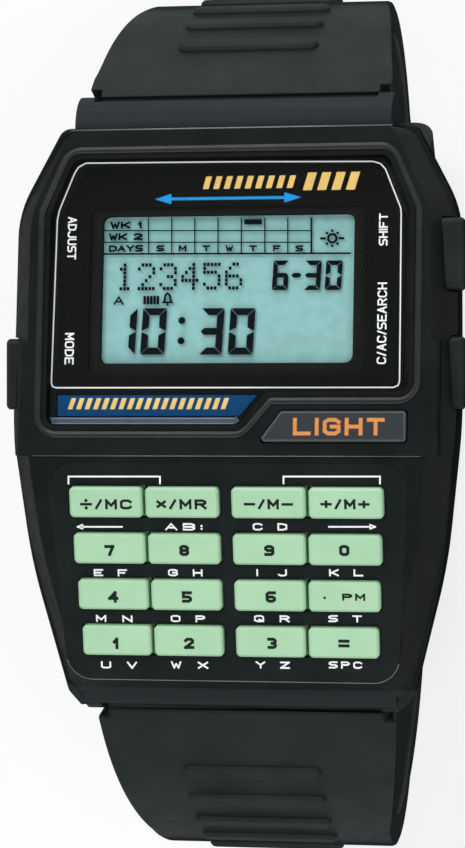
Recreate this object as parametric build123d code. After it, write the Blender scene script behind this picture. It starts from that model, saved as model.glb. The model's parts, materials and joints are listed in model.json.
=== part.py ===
from build123d import *
import os
from math import cos, degrees, radians, sin, tan

# Calculator wristwatch, dial up, standing on the closed loop of its strap.
# X runs to 3 o'clock, Y to 12 o'clock and Z out of the dial. Sizes are in millimetres.
# Pieces are drawn with Z at zero on the outer face of the case back, then lifted onto the loop's base.

# General
overrun = 4.0
seat_gap = 0.03
sliding_gap = 0.12

# Case
case_half_width = 19.2
case_top_y = 25.6
case_bottom_y = -24.4
case_height = 12.0
case_base_inset = 1.3
case_base_end_inset = 0.5
case_base_rise = 4.0
case_outline_shares = (
    (0.800, 1.000), (0.998, 0.715), (1.000, 0.000), (0.935, -0.490), (0.790, -0.950), (0.735, -1.000))
case_corner_radius = 1.2
case_shoulder_radius = 9.0
case_waist_radius = 45.0
case_outline_radii = (
    case_corner_radius, case_shoulder_radius, case_waist_radius, case_waist_radius, case_corner_radius)

# Front: a display face and a keypad face that fall away from one ridge line
ridge_y = -2.7
display_tilt = 5.6
keypad_tilt = 10.0
keypad_step = 0.22
bezel_rise = 3.2
bezel_side_inset = 1.9
bezel_top_inset = 0.3
bezel_bottom_inset = 2.1
guard_rise = 2.8
guard_side_inset = 1.1
guard_edge_drop = 0.25

# Crystal, its seal and what lies under it
crystal_side_margin = 3.7
crystal_top_margin = 2.85
crystal_step_y = 2.75
crystal_bottom_y = -0.1
crystal_step_x = 3.5
crystal_foot_x = 1.1
crystal_corner_cut_x = 2.0
crystal_corner_cut_y = 4.7
crystal_corner_radius = 0.9
crystal_thickness = 1.4
crystal_edge_bevel = 0.3
seal_width = 0.45
window_ledge = 0.45
mask_thickness = 0.3
window_shift_x = -0.45
mask_side_margin = 3.65
mask_top_margin = 4.0
mask_step_margin = 1.65
mask_lcd_side_margin = 0.9
mask_lcd_top_margin = 0.6
mask_lcd_low_margin = 1.0
accent_side_margin = 0.65
accent_foot_reach = 1.35
accent_slant = 1.45
accent_low_margin = 0.95
accent_step_gap = 0.15
lcd_view_radius = 0.7
lcd_bezel_thickness = 0.8
lcd_bezel_gap = 0.2
lcd_margin = 1.3
lcd_thickness = 1.2
backlight_thickness = 0.3

# Light button
light_step_gap = 1.3
light_foot_gap = 1.8
light_side_margin = 0.1
light_top_drop = 1.65
light_bottom_drop = 1.4
light_proud = 0.25
light_corner_radius = 0.3
light_flange = 0.5

# Keypad
keypad_ridge_gap = 0.6
keypad_end_margin = 2.2
keypad_top_side_margin = 3.7
keypad_bottom_side_margin = 4.9
keypad_corner_radius = 2.2
keypad_plate_thickness = 0.7
key_rows = 4
key_first_row_drop = 3.32
key_last_row_rise = 3.58
key_row_gap = 1.4
key_top_side_margin = 2.04
key_bottom_side_margin = 1.52
key_pair_gap = 0.27
key_centre_gap = 1.1
key_corner_radius = 0.4
key_edge_bevel = 0.18
key_proud = 0.65
key_clearance = 0.1
key_flange = 0.45
key_flange_thickness = 0.45
key_travel = 0.5
key_rest_gap = 0.05
mat_gap = 0.1
mat_thickness = 0.5
keypad_board_thickness = 0.6
well_inset = 0.7
well_bottom_inset = 1.3

# Back
back_top_margin = 4.2
back_bottom_margin = 6.6
back_top_side_margin = 3.8
back_bottom_side_margin = 5.2
back_thickness = 1.2
back_corner_radius = 2.4
cavity_inset = 1.6
cavity_corner_radius = 5.4
gasket_inset = 0.75
gasket_width = 0.8
gasket_thickness = 0.5
gasket_corner_radius = 6.3
screw_inset = 2.0
screw_radius = 0.55
screw_head_radius = 1.1
screw_head_depth = 0.6
screw_length = 4.0
screw_slot_width = 0.3
screw_slot_depth = 0.3

# Module
module_side_gap = 0.3
module_gap = 0.15
board_level_share = 0.494
board_thickness = 0.6
battery_side_room = 2.6
battery_top_room = 1.05
battery_ridge_gap = 1.3
battery_thickness_share = 0.727
clamp_thickness = 0.2
clamp_width = 5.0
clamp_side_room = 1.4
buzzer_battery_gap = 0.1
buzzer_end_room = 3.3
buzzer_thickness = 0.25
buzzer_element_share = 0.646
chip_size = 6.5
chip_thickness_share = 0.41
quartz_radius_share = 0.41
quartz_length = 6.0
quartz_chip_gap = 3.85
connector_side_room = 2.0
connector_depth = 1.4
connector_drop = 0.2
connector_pocket_gap = 0.15

# Side pushers
pusher_drop = 4.5
pusher_proud = 0.6
pusher_height = 2.4
pusher_length = 6.1
pusher_depth = 2.25
pusher_corner_radius = 0.5
pusher_edge_bevel = 0.2
pusher_travel = 0.6
pusher_pocket_depth = 2.3
pusher_stem_radius = 0.5
pusher_bore_gap = 0.06
pusher_stem_length = 3.2
pusher_stem_end = 0.9
pusher_end_room = 0.8
pusher_clip_radius = 1.0
pusher_clip_thickness = 0.25
pusher_spring_radius = 0.95
pusher_spring_wall = 0.32
pusher_spring_length = 1.1
pusher_spring_bore = 1.05
upper_pusher_share = 0.56
lower_pusher_share = 0.168
setting_pusher_share = 0.547
setting_pusher_drop = 6.4
setting_pusher_recess = 1.1
setting_pusher_radius = 0.8

# Strap seats at both ends of the case
hood_side_margin = 5.5
hood_radius = 3.0
cheek_thickness = 1.35
barrel_radius = 1.7
barrel_gap = 0.4
hood_lip_angle = 35.0
upper_bar_inset = 0.3
upper_bar_drop = 6.4
lower_bar_inset = 2.6
spring_bar_radius = 0.75
spring_bar_tip_radius = 0.4
spring_bar_end_gap = 0.2
spring_bar_tip_length = 1.05
spring_bar_gap = 0.05

# Strap
strap_thickness = 2.8
neck_thickness = 2.0
neck_hidden_reach = 2.8
neck_reach = 3.6
neck_side_gap = 0.15
strap_lug_inset = 0.3
strap_mid_inset = 2.4
strap_tail_inset = 3.9
strap_mid_depth_share = 0.216
strap_taper_depth_share = 0.761
strap_bend_share = 0.5
strap_side_share = 0.591
upper_leave_angle = 35.0
upper_first_run = 2.9
upper_side_angle = 50.0
upper_straight_run = 9.0
lower_leave_angle = 30.0
lower_first_run = 5.5
lower_side_angle = 60.0
loop_depth = 44.0
strap_end_gap = 1.0
strap_tip_radius = 6.0
buckle_bar_from_end = 4.3
rib_length = 12.4
rib_width = 1.5
rib_height = 0.55
rib_pitch = 3.5
rib_count = 5
upper_first_rib_along = 8.6
lower_first_rib_along = 9.2
adjust_hole_count = 9
adjust_hole_pitch = 4.8
adjust_hole_length = 3.2
adjust_hole_width = 1.8
adjust_last_hole_from_tip = 7.0

# Buckle and keeper
buckle_bar_radius = 0.75
buckle_bar_gap = 0.05
buckle_side_gap = 0.3
buckle_arm_width = 1.5
buckle_thickness = 1.8
buckle_reach = 8.6
buckle_front_width = 1.9
buckle_corner_radius = 1.2
buckle_boss_radius = 1.4
strap_end_radius = 1.5
tongue_width = 2.0
tongue_slot_width = 2.5
tongue_thickness = 0.9
tongue_loop_radius = 1.35
tongue_tip_overlap = 0.35
tongue_notch_gap = 0.1
keeper_length = 5.0
keeper_wall = 1.2
keeper_side_gap = 0.35
keeper_inner_gap = 0.35
keeper_tail_room = 3.3
keeper_corner_radius = 0.8
keeper_along_run_share = 0.5


# Sizes and places that follow from the ones above

keypad_ridge_z = case_height - keypad_step
stand_height = loop_depth + strap_thickness / 2
crystal_half_width = case_half_width - crystal_side_margin
crystal_top_y = case_top_y - crystal_top_margin
guard_half_width = case_half_width - guard_side_inset
keypad_top_y = ridge_y - keypad_ridge_gap
keypad_bottom_y = case_bottom_y + keypad_end_margin
keypad_top_half_width = case_half_width - keypad_top_side_margin
keypad_bottom_half_width = case_half_width - keypad_bottom_side_margin
back_top_y = case_top_y - back_top_margin
back_bottom_y = case_bottom_y + back_bottom_margin
back_top_half_width = case_half_width - back_top_side_margin
back_bottom_half_width = case_half_width - back_bottom_side_margin
hood_half_width = case_half_width - hood_side_margin
cheek_inner_x = hood_half_width - cheek_thickness
spring_bar_half_length = cheek_inner_x - spring_bar_end_gap
spring_bar_tip_reach = spring_bar_half_length + spring_bar_tip_length
upper_bar_y = case_top_y - upper_bar_inset
upper_bar_z = case_height - upper_bar_drop
lower_bar_y = -case_bottom_y - lower_bar_inset
lower_bar_z = hood_radius
strap_lug_half_width = hood_half_width - strap_lug_inset
strap_mid_half_width = strap_lug_half_width - strap_mid_inset
strap_tail_half_width = strap_lug_half_width - strap_tail_inset
strap_mid_z = -strap_mid_depth_share * loop_depth
strap_taper_end_z = -strap_taper_depth_share * loop_depth
strap_bend_radius = strap_bend_share * loop_depth
strap_side_radius = strap_side_share * loop_depth


# The two faces of the front



def on_display(shape):
    """Put a shape drawn flat, with Z at zero on the display face, onto the tilted face."""
    return Pos(0, ridge_y, case_height) * Rot(X=-display_tilt) * Pos(0, -ridge_y, 0) * shape


def on_keypad(shape):
    """Put a shape drawn flat, with Z at zero on the keypad face, onto the tilted face."""
    return Pos(0, ridge_y, keypad_ridge_z) * Rot(X=keypad_tilt) * Pos(0, -ridge_y, 0) * shape


def prism(outline, low_z, high_z):
    """A flat outline raised from one height to another."""
    return extrude(Pos(0, 0, low_z) * outline, amount=high_z - low_z)


def polygon(points, radius=0.0):
    """A closed outline through the points, with its corners rounded."""
    face = make_face(Polyline(*points, close=True))
    if radius > 0:
        face = fillet(face.vertices(), radius)
    return face


def side_prism(points, half_width):
    """A closed outline in the YZ plane, carried both ways along X."""
    return extrude(Plane.YZ * make_face(Polyline(*points, close=True)), amount=half_width, both=True)


def below_front(display_depth, keypad_depth):
    """Everything under the two front faces, at a depth below each."""
    reach = case_top_y + overrun + hood_radius
    bottom = -reach
    display_z = case_height - display_depth / cos(radians(display_tilt))
    keypad_z = keypad_ridge_z - keypad_depth / cos(radians(keypad_tilt))
    display_far_z = display_z - (reach - ridge_y) * tan(radians(display_tilt))
    keypad_far_z = keypad_z - (ridge_y - bottom) * tan(radians(keypad_tilt))
    points = (
        (reach, -overrun), (reach, display_far_z), (ridge_y, display_z),
        (ridge_y, keypad_z), (bottom, keypad_far_z), (bottom, -overrun))
    return side_prism(points, case_half_width + overrun)


def save(name, shape):
    """Write one sub-part, lifted so that the strap loop stands on Z at zero."""
    export_step(Pos(0, 0, stand_height) * shape, "parts/" + name + ".step")


# Case

def case_outline(side_inset=0.0, top_inset=0.0, bottom_inset=0.0):
    """The plan of the case, narrower towards 6 o'clock, drawn in by an inset on each side."""
    half_width = case_half_width - side_inset
    right = []
    for width_share, length_share in case_outline_shares:
        end_y = case_top_y - top_inset if length_share > 0 else -case_bottom_y - bottom_inset
        right.append((width_share * half_width, length_share * end_y))
    left = [(-x, y) for x, y in reversed(right)]
    face = make_face(Polyline(*right, *left, close=True))
    for (x, level), radius in zip(right, case_outline_radii):
        face = fillet([v for v in face.vertices() if abs(v.Y - level) < seat_gap], radius)
    return face


def half_space(above):
    """A block that covers one side of the ridge line."""
    size = 2 * (case_top_y + hood_radius + overrun)
    centre_y = ridge_y + size / 2 if above else ridge_y - size / 2
    return Pos(0, centre_y, case_height / 2) * Box(size, size, 2 * size)


def lofted(low, low_z, high, high_z):
    """A ruled wall from one outline up to another."""
    return loft([Pos(0, 0, low_z) * low, Pos(0, 0, high_z) * high], ruled=True)


def guard_blocks():
    """Flat shoulders beside the lower end of the crystal, that shield the lower pushers."""
    inner = crystal_half_width - overrun / 2
    guard_top_y = lower_pusher_y + guard_rise
    plan = Pos(0, (guard_top_y + ridge_y) / 2) * Rectangle(2 * guard_half_width, guard_top_y - ridge_y)
    top = prism(plan, -bezel_rise, 0)
    edges = top.edges().filter_by(Axis.Y).group_by(Axis.Z)[-1]
    top = chamfer(edges, guard_edge_drop)
    inside = prism(Pos(0, ridge_y) * Rectangle(2 * inner, 4 * case_top_y), -2 * bezel_rise, overrun)
    return top - inside


def bezel():
    """The bevelled upper frame over both tilted faces."""
    low = case_outline()
    high = case_outline(bezel_side_inset, bezel_top_inset, bezel_bottom_inset)
    upper = on_display(lofted(low, -bezel_rise, high, 0) + guard_blocks()) & half_space(True)
    lower = on_keypad(lofted(low, -bezel_rise, high, 0)) & half_space(False)
    return upper + lower


def hood(bar_y, bar_z):
    """The rounded end that covers a spring bar, drawn for the 12 o'clock end."""
    round_end = Pos(0, bar_y, bar_z) * Cylinder(hood_radius, 2 * hood_half_width, rotation=(0, 90, 0))
    inner_y = bar_y - hood_radius
    root = side_prism(
        ((inner_y, 0), (inner_y, bar_z + hood_radius), (bar_y, bar_z + hood_radius), (bar_y, 0)),
        hood_half_width)
    return round_end + root


def strap_recess(bar_y, bar_z):
    """The room for the strap's end between the two cheeks, drawn for the 12 o'clock end."""
    room = barrel_radius + barrel_gap
    pocket = Pos(0, bar_y, bar_z) * Cylinder(room, 2 * cheek_inner_x, rotation=(0, 90, 0))
    far = hood_radius + overrun
    lip = (bar_y + far * cos(radians(hood_lip_angle)), bar_z + far * sin(radians(hood_lip_angle)))
    below = side_prism(
        ((bar_y, bar_z), lip, (bar_y + far, -overrun), (bar_y - room, -overrun), (bar_y - room, bar_z)),
        cheek_inner_x)
    bore = Pos(0, bar_y, bar_z) * Cylinder(
        spring_bar_tip_radius + seat_gap, 2 * (spring_bar_tip_reach + seat_gap), rotation=(0, 90, 0))
    return pocket + below + bore


def other_end(shape):
    """Turn a shape drawn for the 12 o'clock end round to the 6 o'clock end."""
    return Rot(Z=180) * shape


# Crystal outline and the shapes that follow it

def crystal_outline(inset=0.0):
    """The display window's plan: cut upper corners, and a foot at the lower left."""
    half_width = crystal_half_width - inset
    top_y = crystal_top_y - inset
    step_y = crystal_step_y + inset
    bottom_y = crystal_bottom_y + inset
    points = (
        (-half_width + crystal_corner_cut_x, top_y), (half_width - crystal_corner_cut_x, top_y),
        (half_width, top_y - crystal_corner_cut_y), (half_width, step_y),
        (crystal_step_x - inset / 2, step_y), (crystal_foot_x - inset, bottom_y),
        (-half_width, bottom_y), (-half_width, top_y - crystal_corner_cut_y))
    return polygon(points, crystal_corner_radius - inset / 2)


def mask_window():
    """The opening of the printed mask over the display."""
    height = mask_window_high_y - mask_window_low_y
    centre_y = (mask_window_high_y + mask_window_low_y) / 2
    return Pos(window_shift_x, centre_y) * RectangleRounded(
        2 * mask_window_half_width, height, lcd_view_radius)


def accent_outline(grow=0.0):
    """The coloured plate's plan, slanted at its right end."""
    left_x = accent_side_margin - crystal_half_width - grow
    right_x = crystal_foot_x + accent_foot_reach + grow
    low_y = crystal_bottom_y + accent_low_margin - grow
    high_y = crystal_step_y - accent_step_gap + grow
    return polygon(((left_x, low_y), (right_x - accent_slant, low_y), (right_x, high_y), (left_x, high_y)))


def light_outline(grow=0.0):
    """The light button's plan, slanted at its left end."""
    low_y = crystal_bottom_y - light_bottom_drop - grow
    high_y = crystal_step_y - light_top_drop + grow
    right_x = crystal_half_width - light_side_margin + grow
    left_bottom_x = crystal_foot_x + light_foot_gap - grow
    left_top_x = crystal_step_x + light_step_gap - grow / 2
    corners = ((left_bottom_x, low_y), (right_x, low_y), (right_x, high_y), (left_top_x, high_y))
    return polygon(corners, light_corner_radius)


mask_window_half_width = crystal_half_width - mask_side_margin
mask_window_low_y = crystal_step_y + mask_step_margin
mask_window_high_y = crystal_top_y - mask_top_margin
lcd_view_half_width = mask_window_half_width - mask_lcd_side_margin
lcd_view_low_y = mask_window_low_y + mask_lcd_low_margin
lcd_view_high_y = mask_window_high_y - mask_lcd_top_margin
crystal_floor = -crystal_thickness - seat_gap
mask_low = -crystal_thickness - mask_thickness
lcd_bezel_top = mask_low - lcd_bezel_gap
lcd_top = lcd_bezel_top - lcd_bezel_thickness
lcd_low = lcd_top - lcd_thickness
backlight_low = lcd_low - backlight_thickness
display_wall = -mask_low + lcd_bezel_gap / 2
lcd_half_width = lcd_view_half_width + lcd_margin
lcd_centre_y = (lcd_view_low_y + lcd_view_high_y) / 2
lcd_length = lcd_view_high_y - lcd_view_low_y + 2 * lcd_margin


# Keypad layout

keypad_length = keypad_top_y - keypad_bottom_y
key_row_pitch = (keypad_length - key_first_row_drop - key_last_row_rise) / (key_rows - 1)
key_height = key_row_pitch - key_row_gap
plate_low = -keypad_plate_thickness
key_flange_top = plate_low - key_rest_gap
key_low = key_flange_top - key_flange_thickness
mat_top = key_low - key_travel - mat_gap
keypad_board_top = mat_top - mat_thickness
keypad_depth = keypad_board_thickness - keypad_board_top + seat_gap


def keypad_outline(inset=0.0, bottom_inset=None):
    """The keypad panel's plan, narrower towards 6 o'clock."""
    low_inset = inset if bottom_inset is None else bottom_inset
    top_y = keypad_top_y - inset
    bottom_y = keypad_bottom_y + low_inset
    top = keypad_top_half_width - inset
    bottom = keypad_bottom_half_width - inset
    corners = ((-top, top_y), (top, top_y), (bottom, bottom_y), (-bottom, bottom_y))
    return polygon(corners, keypad_corner_radius - inset)


def key_places():
    """Row, column, centre and width of each key: two pairs to a row."""
    top_half = keypad_top_half_width - key_top_side_margin
    bottom_half = keypad_bottom_half_width - key_bottom_side_margin
    places = []
    for row in range(key_rows):
        half = top_half + row / (key_rows - 1) * (bottom_half - top_half)
        width = (half - key_centre_gap / 2 - key_pair_gap) / 2
        y = keypad_top_y - key_first_row_drop - row * key_row_pitch
        inner = key_centre_gap / 2 + width / 2
        outer = inner + width + key_pair_gap
        for column, x in enumerate((-outer, -inner, inner, outer)):
            places.append((row, column, x, y, width))
    return places


def key_cap(x, y, width, column):
    """One key: a round-cornered cap, with a flange under the plate on its free sides."""
    plan = Pos(x, y) * RectangleRounded(width, key_height, key_corner_radius)
    cap = prism(plan, key_low, key_proud)
    cap = chamfer(cap.faces().sort_by(Axis.Z)[-1].edges(), key_edge_bevel)
    side_flange = key_flange if column in (0, 3) else 0
    flange_x = x + side_flange / 2 if column == 3 else x - side_flange / 2
    flange_plan = Pos(flange_x, y) * Rectangle(width + side_flange, key_height + 2 * key_flange)
    return cap + prism(flange_plan, key_low, key_flange_top)


def key_pair_hole(x, y, width):
    """The plan of the opening that one pair of keys shares."""
    grow = 2 * key_clearance
    return Pos(x, y) * RectangleRounded(
        2 * width + key_pair_gap + grow, key_height + grow, key_corner_radius + key_clearance)


def keypad_plate():
    plate = prism(keypad_outline(seat_gap), plate_low, 0)
    for row, column, x, y, width in key_places():
        if column in (0, 2):
            centre_x = x + (width + key_pair_gap) / 2
            plate -= prism(key_pair_hole(centre_x, y, width), plate_low - overrun, overrun)
    return plate


# Back

def back_outline(inset=0.0, radius=back_corner_radius):
    """The case back's plan, narrower towards 6 o'clock."""
    top, bottom = back_top_half_width - inset, back_bottom_half_width - inset
    return polygon((
        (-top, back_top_y - inset), (top, back_top_y - inset),
        (bottom, back_bottom_y + inset), (-bottom, back_bottom_y + inset)), radius)


def screw_places():
    top, bottom = back_top_half_width - screw_inset, back_bottom_half_width - screw_inset
    return [(side * x, y) for side in (-1, 1)
            for x, y in ((top, back_top_y - screw_inset), (bottom, back_bottom_y + screw_inset))]


def gasket():
    outer = back_outline(gasket_inset, gasket_corner_radius)
    inner = back_outline(gasket_inset + gasket_width, cavity_corner_radius)
    return prism(outer, back_thickness, back_thickness + gasket_thickness) - prism(inner, 0, case_height)


def screw(x, y):
    """A countersunk screw, its head level with the back."""
    head = Pos(x, y, screw_head_depth / 2) * Cone(screw_head_radius, screw_radius, screw_head_depth)
    shank = Pos(x, y, screw_length / 2) * Cylinder(screw_radius, screw_length)
    slot = Pos(x, y, screw_slot_depth / 2) * Box(2 * screw_head_radius, screw_slot_width, screw_slot_depth)
    return head + shank - slot


def screw_hole(x, y):
    """The countersink and the shank's hole, wider than the screw by the seat gap."""
    sink = Pos(x, y, screw_head_depth / 2) * Cone(
        screw_head_radius + seat_gap, screw_radius + seat_gap, screw_head_depth)
    length = screw_length + seat_gap
    return sink + Pos(x, y, length / 2) * Cylinder(screw_radius + seat_gap, length)


# Pushers

pusher_reach = case_half_width + pusher_proud
pusher_pocket_floor_x = case_half_width - pusher_pocket_depth
pusher_inner_x = pusher_pocket_floor_x - pusher_stem_length
pusher_wall_x = pusher_inner_x + pusher_stem_end
pusher_room_x = pusher_inner_x - pusher_end_room
pusher_z = case_height - pusher_drop
right_upper_pusher_y = upper_pusher_share * case_top_y
lower_pusher_y = lower_pusher_share * case_top_y
setting_pusher_y = setting_pusher_share * case_top_y
setting_pusher_z = case_height - setting_pusher_drop
setting_pusher_reach = case_half_width - setting_pusher_recess
right_pushers = (("pusher_right_upper", right_upper_pusher_y), ("pusher_right_lower", lower_pusher_y))


def along_x(radius, low_x, high_x, y, z):
    """A round bar or bore along X."""
    return Pos((low_x + high_x) / 2, y, z) * Cylinder(radius, high_x - low_x, rotation=(0, 90, 0))


def pusher(y, z, reach, round_cap):
    """A pusher for the right side: a cap outside and a stem through the wall."""
    inner = reach - pusher_depth
    if round_cap:
        inner = pusher_pocket_floor_x + pusher_travel + seat_gap
        cap = along_x(setting_pusher_radius, inner, reach, y, z)
    else:
        plan = Pos(y, z) * RectangleRounded(pusher_length, pusher_height, pusher_corner_radius)
        cap = extrude(Plane.YZ * plan, amount=reach)
        cap -= Pos(inner / 2, y, z) * Box(inner, 2 * pusher_length, 2 * pusher_height)
        cap = chamfer(cap.faces().sort_by(Axis.X)[-1].edges(), pusher_edge_bevel)
    return cap + along_x(pusher_stem_radius, pusher_inner_x, inner, y, z)


def pusher_clip(y, z):
    """A ring that keeps the stem from pulling out, just inside the wall."""
    outer = pusher_wall_x - seat_gap
    ring = along_x(pusher_clip_radius, outer - pusher_clip_thickness, outer, y, z)
    return ring - along_x(pusher_stem_radius, 0, case_half_width, y, z)


def pusher_spring(y, z):
    high = pusher_pocket_floor_x - seat_gap
    low = high - pusher_spring_length
    sleeve = along_x(pusher_spring_radius, low, high, y, z)
    bore = pusher_spring_radius - pusher_spring_wall
    return sleeve - along_x(bore, low - overrun, high + overrun, y, z)


def pusher_room(y, z, round_cap):
    """All that the case leaves out for one pusher on its right side."""
    if round_cap:
        mouth = along_x(setting_pusher_radius + sliding_gap, pusher_pocket_floor_x, 2 * case_half_width, y, z)
    else:
        grow = 2 * sliding_gap
        plan = Pos(y, z) * RectangleRounded(
            pusher_length + grow, pusher_height + grow, pusher_corner_radius + sliding_gap)
        mouth = extrude(Plane.YZ * plan, amount=2 * case_half_width)
        mouth -= Box(2 * pusher_pocket_floor_x, 4 * case_top_y, 4 * case_height)
    bore = along_x(pusher_stem_radius + pusher_bore_gap, pusher_room_x, pusher_pocket_floor_x, y, z)
    well_floor = pusher_pocket_floor_x - pusher_spring_length - 2 * seat_gap
    well = along_x(pusher_spring_bore, well_floor, pusher_pocket_floor_x, y, z)
    room_z = pusher_clip_radius + 3 * seat_gap
    room = Pos((pusher_room_x + pusher_wall_x) / 2, y, z) * Box(
        pusher_wall_x - pusher_room_x, 2 * room_z, 2 * room_z)
    return mouth + bore + well + room


def mirrored_x(shape):
    return mirror(shape, about=Plane.YZ)


# Strap

class Path:
    """A path in the YZ plane made of straight runs and bends to the right, walked by its length."""

    def __init__(self, y, z, drop_angle):
        self.pieces = []
        self.y, self.z, self.angle = y, z, drop_angle

    def heading(self, angle):
        return cos(radians(angle)), -sin(radians(angle))

    def run(self, length):
        dy, dz = self.heading(self.angle)
        self.pieces.append(("run", self.y, self.z, self.angle, length, 0.0))
        self.y += dy * length
        self.z += dz * length

    def bend(self, radius, turn):
        self.pieces.append(("bend", self.y, self.z, self.angle, radius * radians(turn), radius))
        self.y, self.z = self.point_on(self.pieces[-1], self.pieces[-1][4], 0.0)
        self.angle += turn

    def point_on(self, piece, along, outward):
        """The point a given way along a piece, moved outward from the path."""
        kind, y, z, angle, length, radius = piece
        dy, dz = self.heading(angle)
        if kind == "run":
            return y + dy * along - dz * outward, z + dz * along + dy * outward
        centre_y, centre_z = y + dz * radius, z - dy * radius
        dy, dz = self.heading(angle + degrees(along / radius))
        return centre_y - dz * (radius + outward), centre_z + dy * (radius + outward)

    def at(self, along):
        """Place and drop angle at a length along the whole path."""
        for piece in self.pieces:
            if along <= piece[4] or piece is self.pieces[-1]:
                y, z = self.point_on(piece, along, 0.0)
                turn = degrees(along / piece[5]) if piece[5] else 0.0
                return y, z, piece[3] + turn
            along -= piece[4]

    def length(self):
        return sum(piece[4] for piece in self.pieces)

    def band(self, start, end, half_thickness):
        """The side view of a band of even thickness between two lengths along the path."""
        outer, inner, walked = [], [], 0.0
        for piece in self.pieces:
            low = max(start - walked, 0.0)
            high = min(end - walked, piece[4])
            walked += piece[4]
            if high - low < seat_gap:
                continue
            for side, edges in ((half_thickness, outer), (-half_thickness, inner)):
                ends = self.point_on(piece, low, side), self.point_on(piece, high, side)
                if piece[0] == "run":
                    edges.append(Line(*ends))
                else:
                    middle = self.point_on(piece, (low + high) / 2, side)
                    edges.append(ThreePointArc(ends[0], middle, ends[1]))
        caps = [Line(outer[0] @ 0, inner[0] @ 0), Line(outer[-1] @ 1, inner[-1] @ 1)]
        return make_face(outer + inner + caps)


def finish_loop(path):
    """Bend a path that already drops by the side angle down to the level base of the loop."""
    left_angle = 180 - path.angle
    drop = path.z + loop_depth
    path.bend(drop / (1 - cos(radians(left_angle))), left_angle)


def upper_path():
    path = Path(upper_bar_y, upper_bar_z, upper_leave_angle)
    path.run(upper_first_run)
    path.bend(strap_bend_radius, 90 - upper_leave_angle)
    path.bend(strap_side_radius, upper_side_angle)
    path.run(upper_straight_run)
    finish_loop(path)
    return path


def lower_path():
    """Drawn for the 12 o'clock end, and turned round with the strap."""
    path = Path(lower_bar_y, lower_bar_z, lower_leave_angle)
    path.run(lower_first_run)
    path.bend(strap_bend_radius, 90 - lower_leave_angle)
    path.bend(strap_side_radius, lower_side_angle)
    finish_loop(path)
    path.run(path.y + strap_tip_y)
    return path


def strap_taper(lug_z):
    """The strap's outline seen from 12 o'clock, carried along Y."""
    low = -loop_depth - strap_thickness
    half = (
        (strap_lug_half_width, lug_z + overrun), (strap_lug_half_width, lug_z),
        (strap_mid_half_width, strap_mid_z), (strap_tail_half_width, strap_taper_end_z),
        (strap_tail_half_width, low))
    points = half + tuple((-x, z) for x, z in reversed(half))
    reach = 2 * (case_top_y + strap_bend_radius)
    return extrude(Plane.XZ * make_face(Polyline(*points, close=True)), amount=reach, both=True)


def rib(path, along):
    """A raised bar with round ends, across the outside of the strap."""
    y, z, angle = path.at(along)
    plan = SlotOverall(rib_length, rib_width)
    bar = prism(plan, strap_thickness / 4, strap_thickness / 2 + rib_height)
    bar = chamfer(bar.faces().sort_by(Axis.Z)[-1].edges(), rib_height / 2)
    return Pos(0, y, z) * Rot(X=-angle) * bar


def strap_blank(path, end, bar_y, bar_z):
    """Band, neck and barrel of a strap half, before its own cuts."""
    side_view = Plane.YZ * path.band(neck_reach, end, strap_thickness / 2)
    band = extrude(side_view, amount=strap_lug_half_width + overrun, both=True) & strap_taper(bar_z)
    neck_half = cheek_inner_x - neck_side_gap
    neck_end = neck_reach + strap_thickness / 2
    neck_view = path.band(0, neck_end, neck_thickness / 2)
    neck_view += path.band(neck_hidden_reach, neck_end, strap_thickness / 2)
    neck = extrude(Plane.YZ * neck_view, amount=neck_half, both=True)
    barrel = Pos(0, bar_y, bar_z) * Cylinder(barrel_radius, 2 * neck_half, rotation=(0, 90, 0))
    bore = Pos(0, bar_y, bar_z) * Cylinder(
        spring_bar_radius + spring_bar_gap, 4 * neck_half, rotation=(0, 90, 0))
    return band + neck + barrel - bore


def strap_upper():
    path = upper_path()
    buckle_bar_along = path.length() - buckle_bar_from_end
    strap = strap_blank(path, buckle_bar_along, upper_bar_y, upper_bar_z)
    for turn in range(rib_count):
        strap += rib(path, upper_first_rib_along + turn * rib_pitch)
    y, z, angle = path.at(buckle_bar_along)
    width = 2 * strap_tail_half_width
    strap += Pos(0, y, z) * Cylinder(strap_end_radius, width, rotation=(0, 90, 0))
    strap -= Pos(0, y, z) * Cylinder(buckle_bar_radius + buckle_bar_gap, 2 * width, rotation=(0, 90, 0))
    slot = 2 * (tongue_loop_radius + buckle_side_gap)
    strap -= Pos(0, y, z) * Rot(X=-angle) * Box(tongue_slot_width, slot, 2 * strap_thickness)
    return strap


def strap_lower():
    path = lower_path()
    strap = strap_blank(path, path.length(), lower_bar_y, lower_bar_z)
    for turn in range(rib_count):
        strap += rib(path, lower_first_rib_along + turn * rib_pitch)
    for turn in range(adjust_hole_count):
        y, z, angle = path.at(path.length() - adjust_last_hole_from_tip - turn * adjust_hole_pitch)
        hole = prism(SlotOverall(adjust_hole_length, adjust_hole_width), -strap_thickness, strap_thickness)
        strap -= Pos(0, y, z) * Rot(X=-angle) * hole
    tip = -strap_tip_y
    length = 2 * strap_tip_radius
    block = Pos(0, tip + length / 2) * Rectangle(4 * strap_tail_half_width, length)
    round_tip = Pos(0, tip + 2 * length) * RectangleRounded(
        2 * strap_tail_half_width, 4 * length, strap_tip_radius)
    strap -= prism(block - round_tip, -loop_depth - strap_thickness, -loop_depth + strap_thickness)
    return other_end(strap)


def spring_bar(bar_y, bar_z):
    bar = along_x(spring_bar_radius, -spring_bar_half_length, spring_bar_half_length, bar_y, bar_z)
    return bar + along_x(spring_bar_tip_radius, -spring_bar_tip_reach, spring_bar_tip_reach, bar_y, bar_z)


# Buckle, drawn level with its bar on the origin, reaching towards -Y

buckle_y, buckle_z = upper_path().at(upper_path().length() - buckle_bar_from_end)[:2]
strap_tip_y = buckle_y - buckle_reach - strap_end_gap
buckle_inner = strap_tail_half_width + buckle_side_gap
buckle_outer = buckle_inner + buckle_arm_width


def at_buckle(shape):
    return Pos(0, buckle_y, buckle_z) * shape


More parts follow.
